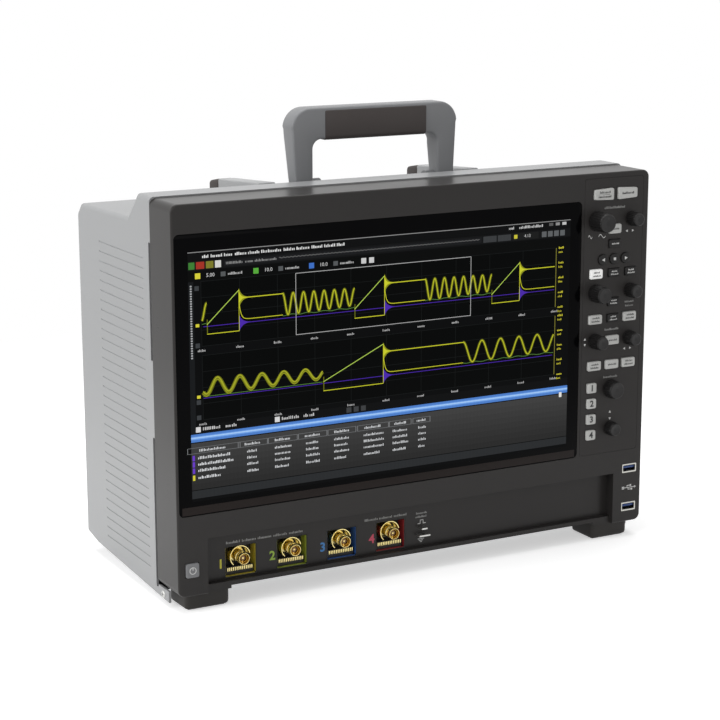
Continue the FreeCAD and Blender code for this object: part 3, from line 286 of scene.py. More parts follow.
def screen_finish() -> bpy.types.Material:
    """Lit display picture under bonded glass: each mark glows in its own colour, under a gloss."""
    name = "display_picture_under_glass"
    found = bpy.data.materials.get(name)
    if found:
        return found
    material = bpy.data.materials.new(name)
    tree = new_tree(material)
    tint = add(tree, "Attribute", attribute_name="Tint").outputs["Color"]
    place = add(tree, "TexCoord").outputs["Object"]
    # The display's columns, 0.18 mm apart, are drawn three times as coarse and only just show.
    column = add(tree, "TexWave", {"Vector": place, "Scale": 1000 / 0.54 / 20, "Distortion": 0.0},
                 wave_type="BANDS", bands_direction="X").outputs["Fac"]
    dim = add(tree, "MapRange", {"Value": column, "To Min": 0.96, "To Max": 1.0}).outputs["Result"]
    glow = add(tree, "VectorMath", {0: tint, 1: dim}, operation="MULTIPLY").outputs[0]
    shader = add(tree, "BsdfPrincipled", {"Base Color": linear("#020202"), "Roughness": 0.1, "IOR": 1.5,
                                          "Specular IOR Level": 0.03,
                                          "Emission Color": glow, "Emission Strength": 1.0})
    add(tree, "OutputMaterial", {"Surface": shader.outputs[0]})
    return material


# ------------------------------------------------------------------ surfaces
@dataclass
class Surface:
    """Points and faces of one closed shape, in millimetres."""

    points: np.ndarray
    quads: np.ndarray
    caps: list[np.ndarray] = field(default_factory=list)

    def volume(self) -> float:
        """Six times the signed volume, from each face cut into triangles about its first corner."""
        total = 0.0
        p = self.points
        if len(self.quads):
            a, b, c, d = (p[self.quads[:, i]] for i in range(4))
            total += np.einsum("ij,ij->", a, np.cross(b, c)) + np.einsum("ij,ij->", a, np.cross(c, d))
        for cap in self.caps:
            ring = p[cap]
            first = np.broadcast_to(ring[0], ring[1:-1].shape)
            total += np.einsum("ij,ij->", first, np.cross(ring[1:-1], ring[2:]))
        return float(total)

    def outward(self) -> "Surface":
        """Turn every face over if the shape is inside out."""
        centre = self.points.mean(0)
        moved = Surface(self.points - centre, self.quads, self.caps)
        if moved.volume() < 0:
            return Surface(self.points, self.quads[:, ::-1], [c[::-1] for c in self.caps])
        return self


def skin(rings: np.ndarray, looped: bool = False) -> Surface:
    """Join closed rings of points into one skin.

    The face between ring i and ring i + 1 and between point j and point j + 1 has those
    four corners; the first and last ring are closed with one flat face each, unless the
    rings themselves make a loop.

    Args:
        rings: array of rings, points and x, y, z.
        looped: the last ring meets the first.

    Returns:
        The closed shape.
    """
    n, m = rings.shape[:2]
    i = np.arange(n if looped else n - 1)[:, None]
    j = np.arange(m)[None, :]
    after = (i + 1) % n
    beside = (j + 1) % m
    quads = np.stack([i * m + j, i * m + beside, after * m + beside, after * m + j], -1).reshape(-1, 4)
    caps = [] if looped else [np.arange(m)[::-1], (n - 1) * m + np.arange(m)]
    return Surface(rings.reshape(-1, 3), quads, caps).outward()


def circle(radius: float, sides: int = 48, flutes: int = 0, depth: float = 0.0) -> Outline:
    """A circle, or one with flutes: r(t) = radius - inset - depth * (1 - cos(flutes * t)) / 2."""
    turn = np.linspace(0, 2 * np.pi, sides, endpoint=False)

    def loop(inset: float) -> np.ndarray:
        """Points of the circle moved inwards by inset."""
        r = np.maximum(radius - inset - depth * (1 - np.cos(flutes * turn)) / 2, 0.01)
        return np.stack([r * np.cos(turn), r * np.sin(turn)], -1)
    return loop


def rounded(corners: Sequence[tuple[float, float]], radius: float, steps: int = 5) -> Outline:
    """A polygon with round corners.

    Each corner becomes an arc of the given radius whose centre lies on the corner's
    bisector; insetting moves every side inwards and shrinks the arcs by the same amount.

    Args:
        corners: the polygon's corners, anticlockwise.
        radius: the arcs' radius.
        steps: points on each arc.

    Returns:
        A function from inset to points.
    """
    c = np.asarray(corners, float)
    into = c - np.roll(c, 1, 0)
    out = np.roll(c, -1, 0) - c
    into /= np.linalg.norm(into, axis=1)[:, None]
    out /= np.linalg.norm(out, axis=1)[:, None]
    normal_in = np.stack([into[:, 1], -into[:, 0]], -1)
    normal_out = np.stack([out[:, 1], -out[:, 0]], -1)
    half = normal_in + normal_out
    half /= np.einsum("ij,ij->i", half, normal_in)[:, None]
    start = np.arctan2(normal_in[:, 1], normal_in[:, 0])
    sweep = (np.arctan2(normal_out[:, 1], normal_out[:, 0]) - start) % (2 * np.pi)
    angle = start[:, None] + sweep[:, None] * np.linspace(0, 1, steps)[None, :]
    rim = np.stack([np.cos(angle), np.sin(angle)], -1)

    def loop(inset: float) -> np.ndarray:
        """Points of the outline moved inwards by inset."""
        r = max(radius - inset, 0.02)
        centre = c - half * (inset + r)
        return (centre[:, None, :] + r * rim).reshape(-1, 2)
    return loop


def rectangle(width: float, height: float, radius: float, steps: int = 5) -> Outline:
    """A rectangle about zero with round corners."""
    w, h = width / 2, height / 2
    return rounded([(-w, -h), (w, -h), (w, h), (-w, h)], radius, steps)


class Facing(Enum):
    """Which way a shape's outline looks."""

    FRONT = ((1, 0, 0), (0, 0, 1), (0, -1, 0))
    BACK = ((1, 0, 0), (0, 0, 1), (0, 1, 0))
    LEFT = ((0, 1, 0), (0, 0, 1), (-1, 0, 0))
    RIGHT = ((0, 1, 0), (0, 0, 1), (1, 0, 0))
    UP = ((1, 0, 0), (0, 1, 0), (0, 0, 1))


def placed(u: np.ndarray, v: np.ndarray, out: np.ndarray, centre: Point, facing: Facing) -> np.ndarray:
    """Points of a shape from its own two coordinates and its distance outwards.

    Args:
        u: first coordinate in the outline's plane.
        v: second coordinate in the outline's plane.
        out: distance along the facing.
        centre: where the outline's zero lies.
        facing: which way the outline looks.

    Returns:
        The points over x, y and z.
    """
    axes = np.array(facing.value, float)
    points = u[..., None] * axes[0] + v[..., None] * axes[1] + out[..., None] * axes[2]
    return points + np.array(centre, float)


def carried(outline: Outline, steps: Profile, centre: Point, facing: Facing = Facing.FRONT) -> Surface:
    """Carry an outline along its facing: each step gives an inset and a distance outwards."""
    loops = np.stack([outline(inset) for inset, _ in steps])
    out = np.array([distance for _, distance in steps])[:, None]
    return skin(placed(loops[..., 0], loops[..., 1], out, centre, facing))


def block(centre: Point, size: Point, edge: float = 0.4) -> Surface:
    """A block with soft edges all round, from its centre and its sizes along X, Y and Z."""
    x, y, z = size
    steps = soft_steps(-y / 2, y / 2, edge)
    return carried(rectangle(x, z, max(edge, 0.05)), steps, centre, Facing.FRONT)


def soft_steps(low: float, high: float, edge: float, steps: int = 3) -> list[tuple[float, float]]:
    """Insets and distances of a wall whose two ends are rounded by quarter circles."""
    t = np.linspace(0, np.pi / 2, steps + 1)
    first = [(edge * (1 - math.sin(a)), low + edge * (1 - math.cos(a))) for a in t]
    return first + [(i, high + low - d) for i, d in reversed(first)]


def crowned_steps(low: float, high: float, edge: float, span: float,
                  crown: float) -> list[tuple[float, float]]:
    """As soft_steps, but the outer face is dished or crowned towards its middle by crown."""
    t = np.linspace(0, np.pi / 2, 4)
    wall = [(0.0, low)] + [(edge * (1 - math.cos(a)), high - edge + edge * math.sin(a)) for a in t]
    inner = [(edge + (span - edge) * s, high + crown * (1 - (1 - s) ** 2)) for s in (0.3, 0.6, 0.9)]
    return wall + inner


def spun(profile: Profile, centre: Point, facing: Facing, sides: int) -> np.ndarray:
    """Rings of a profile of radius and distance outwards, turned about the facing's axis."""
    turn = np.linspace(0, 2 * np.pi, sides, endpoint=False)
    p = np.array(profile, float)
    r = np.maximum(p[:, :1], 0.01)
    return placed(r * np.cos(turn), r * np.sin(turn), p[:, 1:], centre, facing)


def turned(profile: Profile, centre: Point, facing: Facing = Facing.FRONT, sides: int = 48) -> Surface:
    """A solid of revolution from its profile."""
    return skin(spun(profile, centre, facing, sides))


def hollow(outer: Profile, inner: Profile, centre: Point, facing: Facing = Facing.FRONT,
           sides: int = 48) -> Surface:
    """A tube: the outer profile out, and the inner profile back, turned and joined into a ring."""
    return skin(spun(list(outer) + list(inner)[::-1], centre, facing, sides), looped=True)


def frame_of(outer: Outline, inner: Outline, low: float, high: float, edge: float, centre: Point,
             facing: Facing = Facing.FRONT) -> Surface:
    """A square tube between two outlines with the same number of points, its mouth rounded by edge."""
    rows = [(outer(0), low), (outer(0), high - edge), (outer(edge), high),
            (inner(-edge), high), (inner(0), high - edge), (inner(0), low)]
    loops = np.stack([loop for loop, _ in rows])
    out = np.array([distance for _, distance in rows])[:, None]
    return skin(placed(loops[..., 0], loops[..., 1], out, centre, facing), looped=True)


def band(x0: np.ndarray, z0: np.ndarray, x1: np.ndarray, z1: np.ndarray, fore: float, back: float) -> Surface:
    """A thin closed plate between two lines over x and z.

    Args:
        x0: x along the first line.
        z0: z along the first line.
        x1: x along the second line.
        z1: z along the second line.
        fore: y of the face towards the front.
        back: y of the rear face.

    Returns:
        The plate.
    """
    near, far = np.full_like(x0, fore), np.full_like(x0, back)
    corners = ((x0, near, z0), (x1, near, z1), (x1, far, z1), (x0, far, z0))
    return skin(np.stack([np.stack(corner, -1) for corner in corners], 1))


# ------------------------------------------------------------------ pieces
@dataclass
class Piece:
    """One visible piece: shapes with their finishes, put together as one mesh."""

    name: str
    body: str
    slot: str
    stands_for: tuple[str, ...] = ()
    shapes: list[tuple[Surface, bpy.types.Material, tuple | None]] = field(default_factory=list)

    def put(self, surface: Surface, finish: Finish | bpy.types.Material,
            tint: tuple | None = None) -> "Piece":
        """Add a shape with its finish, and a tint where the finish reads one."""
        material = finish.build() if isinstance(finish, Finish) else finish
        self.shapes.append((surface, material, tint))
        return self

    def make(self, front: float) -> bpy.types.Object:
        """Build the mesh in the model's frame, in metres, and ride it on its body.

        Args:
            front: where the front face lies along Y, in millimetres.

        Returns:
            The finished object.
        """
        materials = list(dict.fromkeys(m for _, m, _ in self.shapes))
        points, faces, slots, tints = [], [], [], []
        start = 0
        for surface, material, tint in self.shapes:
            points.append(surface.points)
            faces += (surface.quads + start).tolist() + [(c + start).tolist() for c in surface.caps]
            count = len(surface.quads) + len(surface.caps)
            slots += [materials.index(material)] * count
            tints.append(np.tile(np.array(tint or (0, 0, 0, 1), np.float32), (count, 1)))
            start += len(surface.points)
        world = (np.concatenate(points) + np.array([0, front, 0])) * MM
        mesh = bpy.data.meshes.new(self.name)
        mesh.from_pydata(world.tolist(), [], faces)
        for material in materials:
            mesh.materials.append(material)
        mesh.polygons.foreach_set("material_index", slots)
        mesh.polygons.foreach_set("use_smooth", [True] * len(faces))
        if any(t is not None for _, _, t in self.shapes):
            layer = mesh.attributes.new("Tint", "FLOAT_COLOR", "CORNER")
            corners = np.array([len(f) for f in faces])
            layer.data.foreach_set("color", np.repeat(np.concatenate(tints), corners, 0).ravel())
        mesh.set_sharp_from_angle(angle=math.radians(SHARP_DEGREES))
        mesh.update()
        obj = bpy.data.objects.new(self.name, mesh)
        bpy.context.scene.collection.objects.link(obj)
        if self.stands_for:
            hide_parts(*self.stands_for)
        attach(obj, self.body)
        LOG.info("%s: %d faces on %s", self.name, len(faces), self.body)
        return obj


def plates(low: np.ndarray, high: np.ndarray) -> Surface:
    """Many upright boxes as one surface, all corners at once.

    Args:
        low: the low corner of every box, one row each.
        high: the high corner of every box.

    Returns:
        The boxes as one shape.
    """
    sides = np.array([(0, 0, 0), (1, 0, 0), (1, 0, 1), (0, 0, 1), (0, 1, 0), (1, 1, 0), (1, 1, 1), (0, 1, 1)])
    faces = np.array([(0, 1, 2, 3), (5, 4, 7, 6), (4, 0, 3, 7), (1, 5, 6, 2), (3, 2, 6, 7), (4, 5, 1, 0)])
    points = low[:, None, :] + sides[None] * (high - low)[:, None, :]
    quads = faces[None] + 8 * np.arange(len(low))[:, None, None]
    return Surface(points.reshape(-1, 3), quads.reshape(-1, 4))


def strokes(low: np.ndarray, high: np.ndarray, x: float, z: float, y: float, thick: float) -> Surface:
    """Boxes from their corners over x and z, moved to x and z and centred on y."""
    near, far = np.full(len(low), y - thick / 2), np.full(len(low), y + thick / 2)
    return plates(np.stack([x + low[:, 0], near, z + low[:, 1]], -1),
                  np.stack([x + high[:, 0], far, z + high[:, 1]], -1))


def written(words: Sequence[float], height: float, rng: np.random.Generator,
            gap: float) -> tuple[np.ndarray, np.ndarray]:
    """Places of small strokes that read as words from afar: letters of uneven width and height.

    Args:
        words: the length of every word.
        height: height of a capital.
        rng: source of the letters' sizes.
        gap: space between words.

    Returns:
        Low and high corners over x and z, from the line's start on its base.
    """
    starts = np.concatenate([[0.0], np.cumsum(np.array(words) + gap)[:-1]])
    at = np.concatenate([start + np.arange(0, length, height * 0.62) for start, length in zip(starts, words)])
    wide = height * rng.uniform(0.28, 0.46, len(at))
    tall = height * rng.choice([0.66, 0.7, 1.0], len(at))
    return np.stack([at, np.zeros_like(at)], -1), np.stack([at + wide, tall], -1)


def print_row(x: float, z: float, y: float, width: float, height: float, seed: int, gap: int = 0) -> Surface:
    """A row of small printed strokes centred on x, with its base at z.

    Args:
        x: centre of the row.
        z: base of the row.
        y: middle of the ink.
        width: length of the row.
        height: height of a capital.
        seed: sets the letters' sizes.
        gap: number of spaces in the row.

    Returns:
        The strokes as one shape.
    """
    space = 0.9 * height
    words = np.full(gap + 1, (width - gap * space) / (gap + 1))
    low, high = written(words, height, np.random.default_rng(seed), space)
    return strokes(low, high, x - width / 2, z, y, INK_THICK)


def lettering(text: str, height: float, x: float, z: float, y: float, thick: float,
              bold: float = 0.0) -> Surface:
    """Plain digits as thin plates, centred on x and z, with their face towards the front at y."""
    curve = bpy.data.curves.new("digits", "FONT")
    curve.body = text
    # A digit of the built-in typeface is 1 / 1.37 of its size high.
    curve.size = height * 1.37
    curve.extrude = thick / 2
    curve.offset = bold
    curve.resolution_u = 2
    curve.align_x = "CENTER"
    curve.align_y = "CENTER"
    maker = bpy.data.objects.new("digits", curve)
    bpy.context.scene.collection.objects.link(maker)
    bpy.context.view_layer.update()
    graph = bpy.context.evaluated_depsgraph_get()
    mesh = bpy.data.meshes.new_from_object(maker.evaluated_get(graph))
    co = np.zeros(len(mesh.vertices) * 3, np.float32)
    mesh.vertices.foreach_get("co", co)
    flat = co.reshape(-1, 3).astype(float)
    points = np.stack([flat[:, 0] + x, y - flat[:, 2], flat[:, 1] + z], -1)
    caps = [np.array(p.vertices[:]) for p in mesh.polygons]
    bpy.data.objects.remove(maker)
    bpy.data.meshes.remove(mesh)
    bpy.data.curves.remove(curve)
    return Surface(points, np.zeros((0, 4), int), caps)


def dress(nodes: dict, name: str, finish: Finish) -> None:
    """Give a carried-over CAD node its finish."""
    mesh = nodes[name].data
    mesh.materials.clear()
    mesh.materials.append(finish.build())
    LOG.info("%s: %s", name, finish.name)


# ------------------------------------------------------------------ keys
# The plunger behind every cap: its radius, and where it ends behind the panel.
PLUNGER_RADIUS, PLUNGER_END = 2.0, -9.15


class Symbol(Enum):
    """What is printed on a key."""

    ONE_LINE = "one short bar"
    TWO_LINES = "two short bars"
    LEFT = "triangle to the left"
    RIGHT = "triangle to the right"
    SQUARE = "square"
    DIGIT = "a channel's number"


@dataclass
class Key:
    """A silicone key: a pillowed cap with its print, on a plunger."""

    node: str
    x: float
    z: float
    width: float
    height: float
    finish: Finish
    symbol: Symbol
    digit: str = ""
    taper: int = 0
    proud: float = 1.6
    depth: float = 4.8

    def outline(self) -> Outline:
        """The cap's outline: a circle, a rounded rectangle, or one whose outer end is lower."""
        if self.symbol in (Symbol.LEFT, Symbol.RIGHT, Symbol.SQUARE):
            return circle(self.width / 2, 40)
        if self.taper:
            w, tall, short = self.width / 2, self.height / 2, self.height * 0.41
            left, right = (tall, short) if self.taper > 0 else (short, tall)
            return rounded([(-w, -left), (w, -right), (w, right), (-w, left)], 1.5)
        return rectangle(self.width, self.height, 1.5)

    def marks(self) -> list[Surface]:
        """The printed symbol as plates a little above the cap's face."""
        y = -self.proud - 0.10
        if self.symbol is Symbol.DIGIT:
            return [lettering(self.digit, 5.4, self.x, self.z, y, 0.2, 0.22)]
        if self.symbol is Symbol.SQUARE:
            return [block((self.x, y, self.z), (2.3, 0.2, 2.3), 0.05)]
        if self.symbol in (Symbol.LEFT, Symbol.RIGHT):
            s = 1 if self.symbol is Symbol.RIGHT else -1
            tri = [(-1.3 * s, -1.5), (1.7 * s, 0), (-1.3 * s, 1.5)]
            outline = rounded(tri if s > 0 else tri[::-1], 0.15, 3)
            return [carried(outline, [(0, -0.1), (0, 0.1)], (self.x, y, self.z))]
        rows = ((-0.09, 0.6),) if self.symbol is Symbol.ONE_LINE else ((0.09, 0.5), (-0.26, 0.62))
        tall = self.height * 0.19
        return [print_row(self.x, self.z + self.height * up, y, self.width * share, tall, len(self.node) + k)
                for k, (up, share) in enumerate(rows)]

    def make(self, front: float) -> None:
        """Build the key, standing for its CAD node."""
        dark = self.finish is KEY_DARK
        piece = Piece("cap_" + self.node, self.node, "dark_keys" if dark else "light_keys", (self.node,))
        centre = (self.x, 0, self.z)
        small = min(self.width, self.height) / 2
        cap = crowned_steps(-self.depth, self.proud, 0.7, small, 0.12)
        piece.put(carried(self.outline(), cap, centre), self.finish)
        plunger = [(PLUNGER_RADIUS, PLUNGER_END), (PLUNGER_RADIUS, -self.depth + 0.2)]
        piece.put(turned(plunger, centre, sides=20), self.finish)
        for mark in self.marks():
            piece.put(mark, INK_LIGHT if dark else DARK_INK_AND_PAINTED_SHADE)
        piece.make(front)


LEFT_COLUMN, MID_COLUMN, RIGHT_COLUMN = 165.5, 183.5, 200.5


def all_keys() -> list[Key]:
    """Every key of the panel, from the top down, and the power key."""
    l, m, r = LEFT_COLUMN, MID_COLUMN, RIGHT_COLUMN
    two, one = Symbol.TWO_LINES, Symbol.ONE_LINE
    keys = [
        Key("key_default", m - 11.9, 302.0, 19.6, 10.2, KEY_LIGHT, two, taper=-1),
        Key("key_autoscale", m + 11.9, 302.0, 19.6, 10.2, KEY_LIGHT, one, taper=1),
        Key("key_touch", m, 272.5, 12.5, 8.0, KEY_LIGHT, one),
        Key("key_search", m, 260.0, 11.5, 7.0, KEY_DARK, one),
        Key("key_step_back", m - 11.5, 247.0, 9.0, 9.0, KEY_DARK, Symbol.LEFT),
        Key("key_step_stop", m, 247.0, 9.0, 9.0, KEY_DARK, Symbol.SQUARE),
        Key("key_step_forward", m + 11.5, 247.0, 9.0, 9.0, KEY_DARK, Symbol.RIGHT),
        Key("key_run", l, 235.3, 12.5, 8.0, KEY_LIT, two),
        Key("key_single", m, 235.3, 11.5, 7.0, KEY_DARK, two),
        Key("key_clear", r, 235.3, 11.5, 7.0, KEY_DARK, two),
        Key("key_menu", m, 210.5, 11.5, 7.0, KEY_DARK, two),
        Key("key_mode", l, 196.5, 13.5, 8.0, KEY_LIGHT, two),
        Key("key_acquire", m, 196.5, 11.5, 7.0, KEY_DARK, two),
        Key("key_force", r, 196.5, 13.5, 8.0, KEY_LIGHT, two),
        Key("key_select", m, 177.5, 13.5, 8.0, KEY_LIGHT, one),
        Key("key_math", l, 156.5, 13.5, 8.0, KEY_LIGHT, two),
        Key("key_serial", m, 156.5, 13.5, 8.0, KEY_LIGHT, one),
        Key("key_digital", r, 156.5, 13.5, 8.0, KEY_LIGHT, two),
    ]
    for number, z in enumerate((137.5, 124.0, 110.3, 96.5), start=1):
        keys.append(Key("key_channel_%d" % number, l - 2, z, 9.5, 8.6, KEY_LIGHT, Symbol.DIGIT,
                        digit=str(number)))
    return keys


@dataclass
class PowerKey:
    """The square power key: a ring with a stroke."""

    x: float = -206.5
    z: float = 35.3

    def make(self, front: float) -> None:
        """Build the key and its printed ring."""
        piece = Piece("cap_key_power", "key_power", "light_keys", ("key_power",))
        centre = (self.x, 0, self.z)
        cap = crowned_steps(-4.8, 1.6, 0.7, 5.5, -0.15)
        piece.put(carried(rectangle(11.0, 11.4, 1.5), cap, centre), KEY_POWER)
        plunger = [(PLUNGER_RADIUS, PLUNGER_END), (PLUNGER_RADIUS, -4.6)]
        piece.put(turned(plunger, centre, sides=20), KEY_POWER)
        ring = hollow([(2.9, 0), (2.9, 0.2)], [(2.3, 0), (2.3, 0.2)], (self.x, -1.55, self.z))
        stroke = block((self.x, -1.7, self.z + 1.6), (0.6, 0.3, 2.6), 0.05)
        piece.put(ring, INK_LIGHT).put(stroke, INK_LIGHT)
        piece.make(front)


# ------------------------------------------------------------------ knobs
@dataclass
class Knob:
    """A knob with a fluted rubber skirt, a dished cap and a small pointer."""

    node: str
    x: float
    z: float
    radius: float
    proud: float

    def make(self, front: float) -> None:
        """Build the knob, standing for its CAD node."""
        r, p = self.radius, self.proud
        piece = Piece("grip_" + self.node, self.node, "knob_grey", (self.node,))
        skirt = circle(r, 96, 24, 0.35)
        side = [(0.5, 0.6), (0.0, 1.2), (0.0, 2.2), (0.5, p - 2.2), (0.75, p - 1.2), (1.3, p - 0.5)]
        piece.put(carried(skirt, side, (self.x, 0, self.z)), KNOB_RUBBER)
        cap = [(r - 1.2, p - 1.5), (r - 1.2, p - 0.35), (r - 1.6, p), (r - 2.3, p - 0.05),
               (r * 0.45, p - 0.45), (0.05, p - 0.55)]
        piece.put(turned(cap, (self.x, 0, self.z)), KNOB_CAP)
        piece.put(turned([(3.0, -8.5), (3.0, 0.8)], (self.x, 0, self.z), sides=32), TIN)
        piece.put(turned([(0.05, p - 0.6), (0.75, p - 0.6), (0.75, p - 0.28), (0.05, p - 0.28)],
                         (self.x, 0, self.z + r * 0.5), sides=20), DARK_INK_AND_PAINTED_SHADE)
        piece.make(front)


def all_knobs() -> list[Knob]:
    """Every knob of the panel, from the top down."""
    l, m, r = LEFT_COLUMN, MID_COLUMN, RIGHT_COLUMN
    return [Knob("knob_horizontal_scale", l, 280, 8.5, 17), Knob("knob_horizontal_position", r, 280, 6.2, 12),
            Knob("knob_trigger_level", l, 219, 7.5, 15), Knob("knob_search", r, 219, 6.2, 12),
            Knob("knob_marker", l, 178, 6.5, 14), Knob("knob_marker_fine", r, 178, 6.2, 12),
            Knob("knob_vertical_scale", m, 135, 8.0, 10.5), Knob("knob_vertical_offset", m, 100.5, 6.2, 9.5)]


# ------------------------------------------------------------------ display
@dataclass
class Picture:
    """What the display shows: traces, grids and rows of marks, as thin plates that glow."""

    left: float = -205.0
    low: float = 89.8
    wide: float = 344.2
    high: float = 193.6
    face: float = 0.24
    lift: float = 0.012
    piece: Piece = field(default_factory=lambda: Piece("display_picture", "case", "touch_glass"))
    rng: np.random.Generator = field(default_factory=lambda: np.random.default_rng(7))

    def level(self, layer: int) -> float:
        """Where a layer of the picture lies along Y."""
        return self.face - self.lift * layer

    def bar(self, u: float, v: float, width: float, height: float, colour: str, layer: int = 1) -> None:
        """A plate from its low left corner on the picture."""
        x, z = self.left + u + width / 2, self.low + v + height / 2
        loop = rectangle(width, height, min(0.2, width / 3, height / 3), 2)
        plate = carried(loop, [(0, -self.lift / 2), (0, self.lift / 2)], (x, self.level(layer), z))
        self.piece.put(plate, screen_finish(), linear(colour))

    def text(self, words: str, u: float, v: float, height: float, colour: str, layer: int = 2) -> None:
        """Digits centred on u and v."""
        digits = lettering(words, height, self.left + u, self.low + v, self.level(layer), self.lift)
        self.piece.put(digits, screen_finish(), linear(colour))

    def ribbon(self, u: np.ndarray, low: np.ndarray, high: np.ndarray, colour: str, layer: int) -> None:
        """A band between two curves over u, as a thin closed plate."""
        x, y = self.left + u, self.level(layer)
        plate = band(x, self.low + low, x, self.low + high, y - self.lift / 2, y + self.lift / 2)
        self.piece.put(plate, screen_finish(), linear(colour))

    def line(self, u: np.ndarray, v: np.ndarray, thick: float, colour: str, layer: int) -> None:
        """A line of even thickness along any curve, offset both ways along its normal."""
        along_u, along_v = np.gradient(u), np.gradient(v)
        length = np.maximum(np.hypot(along_u, along_v), 1e-9)
        du, dv = -along_v / length * thick / 2, along_u / length * thick / 2
        x, z, y = self.left + u, self.low + v, self.level(layer)
        plate = band(x - du, z - dv, x + du, z + dv, y - self.lift / 2, y + self.lift / 2)
        self.piece.put(plate, screen_finish(), linear(colour))

    def words(self, u: float, v: float, lengths: Sequence[float], height: float, colour: str,
              gap: float = 1.2) -> None:
        """A line of small strokes that stands for words."""
        low, high = written(lengths, height, self.rng, gap)
        plate = strokes(low, high, self.left + u, self.low + v, self.level(3), self.lift)
        self.piece.put(plate, screen_finish(), linear(colour))

    def period(self, low: float, scale: float, start: float, length: float, sines: int,
               ends: tuple[float, float]) -> None:
        """One period of the power trace: ramp, ringing, flat top over a low return, and a burst of sines.

        Args:
            low: height of the base line.
            scale: height of the flat top over the base.
            start: where the ramp starts.
            length: length of the period.
            sines: number of sines of the burst.
            ends: where the plot starts and ends.
        """
        edge, drop, end = start + 0.212 * length, start + 0.505 * length, start + length
        yellow, olive, violet, pale = "#C9CC2E", "#6C7016", "#4A2AA8", "#B4D458"

        def stroke(u: np.ndarray, v: np.ndarray, thick: float, colour: str, layer: int) -> None:
            """The part of a line that lies in the plot."""
            inside = (u >= ends[0]) & (u <= ends[1])
            if inside.sum() > 2:
                self.line(u[inside], v[inside], thick, colour, layer)

        def spindle(centre: float, half: float, fade: float, colour: str, layer: int) -> None:
            """A filled ringing whose half height is half * exp(-t/fade)."""
            u = np.linspace(edge, edge + 4 * fade, 60)
            grow = half * np.exp(-(u - edge) / fade)
            if u[0] >= ends[0] and u[-1] <= ends[1]:
                self.ribbon(u, low + centre - grow, low + centre + grow, colour, layer)

        ramp = np.linspace(start, edge, 60)
        stroke(ramp, low + 1.34 * scale * (ramp - start) / (edge - start), 0.6, pale, 5)
        stroke(ramp, np.full_like(ramp, low - 7.3), 0.6, yellow, 5)
        stroke(np.full(12, start + 0.3), np.linspace(low - 7.3, low + 4.0, 12), 0.7, olive, 4)
        stroke(np.full(12, edge), np.linspace(low - 7.3, low + 1.36 * scale, 12), 0.45, yellow, 6)
        spindle(scale, 7.6, 2.6, "#8F931F", 4)
        spindle(scale, 4.8, 1.8, yellow, 5)
        spindle(-1.2, 6.4, 2.8, violet, 4)
        top = np.linspace(edge, drop, 200)
        stroke(top, low + scale + 4.5 * np.exp(-(top - edge) / 1.6), 0.7, yellow, 6)
        # The return falls beside the ringing: z = 1.4 + (scale - 4) * exp(-t/1.5).
        stroke(top, low + 1.4 + (scale - 4) * np.exp(-(top - edge) / 1.5), 0.55, yellow, 5)
        burst = np.linspace(drop, end, 1400)
        turn = np.clip((burst - drop) / (end - drop), 0, 1)
        swing = (scale - 1.0) / 2 * (1.0 - 0.22 * turn)
        middle = 1.2 + swing + 2.0 * turn
        wave = low + middle + swing * np.cos(2 * np.pi * sines * turn)
        stroke(burst, wave, 2.1, olive, 4)
        stroke(burst, wave, 0.6, yellow, 5)
        stroke(burst, low + 1.1 + 0.4 * np.sin(burst / 2.2), 0.35, "#5E8F45", 3)
        base = np.linspace(start, end, 80)
        stroke(base, np.full_like(base, low - 1.3), 0.5, violet, 3)

    def plot(self, low: float, high: float, columns: int, rows: int) -> None:
        """A plot's black field with its dotted grid and its yellow scale."""
        left, right = 10.5, 329.9
        self.bar(left, low, right - left, high - low, "#020303", 1)
        for i in range(columns + 1):
            self.bar(left + (right - left) * i / columns - 0.12, low, 0.24, high - low, "#1C1F1F", 2)
        for j in range(rows + 1):
            self.bar(left, low + (high - low) * j / rows - 0.12, right - left, 0.24, "#1C1F1F", 2)
        for j in range(rows + 1):
            v = low + (high - low) * j / rows
            self.words(333.0, v - 0.9, (4.4,), 1.7, "#D6CF3A")
            self.words(333.0, v - 4.4, (3.4,), 1.7, "#C2BC34")
        self.bar(330.3, low, 0.5, high - low, "#8B8733", 2)
        for i in range(columns + 1):
            self.words(left + (right - left) * i / columns - 3.5, low - 4.2, (6.5,), 1.8, "#B0B0B0")

    def draw(self) -> None:
        """Draw the whole picture from the back to the front."""
        self.bar(0, 0, self.wide, self.high, "#070809", 0)
        self.menus()
        self.traces()
        self.tables()

    def menus(self) -> None:
        """The title bar, the tool row, the channel row and the tab at the left."""
        self.bar(0, 187.3, self.wide, 6.3, "#0C0D0E", 1)
        self.words(12, 188.5, (5, 9, 7, 9, 9, 17, 9, 11, 9, 9, 6), 2.3, "#E2E2E2", 2.0)
        self.bar(0, 193.0, self.wide, 0.6, "#8C8C8C", 2)
        for i, colour in enumerate(("#5A5A5A", "#8C8C8C", "#C0C0C0")):
            self.bar(323 + 6.5 * i, 189.6, 4.0, 2.4, colour, 2)
        self.words(284, 189.4, (5, 22), 2.2, "#C8C8C8", 5)
        self.bar(0, 179.6, self.wide, 7.2, "#121314", 1)
        buttons = ((0.6, 5, "#3E7F35"), (6.8, 6.8, "#A33326"), (14.9, 6.2, "#7C7A2B"), (22.4, 5, "#D4D4D0"))
        for u, width, colour in buttons:
            self.bar(u, 180.4, width, 5.4, colour, 2)
        self.bar(29.9, 180.9, 228, 4.4, "#1A1B1D", 2)
        self.words(31.5, 182.2, (14, 6, 18), 1.9, "#8A8A8A", 2.0)
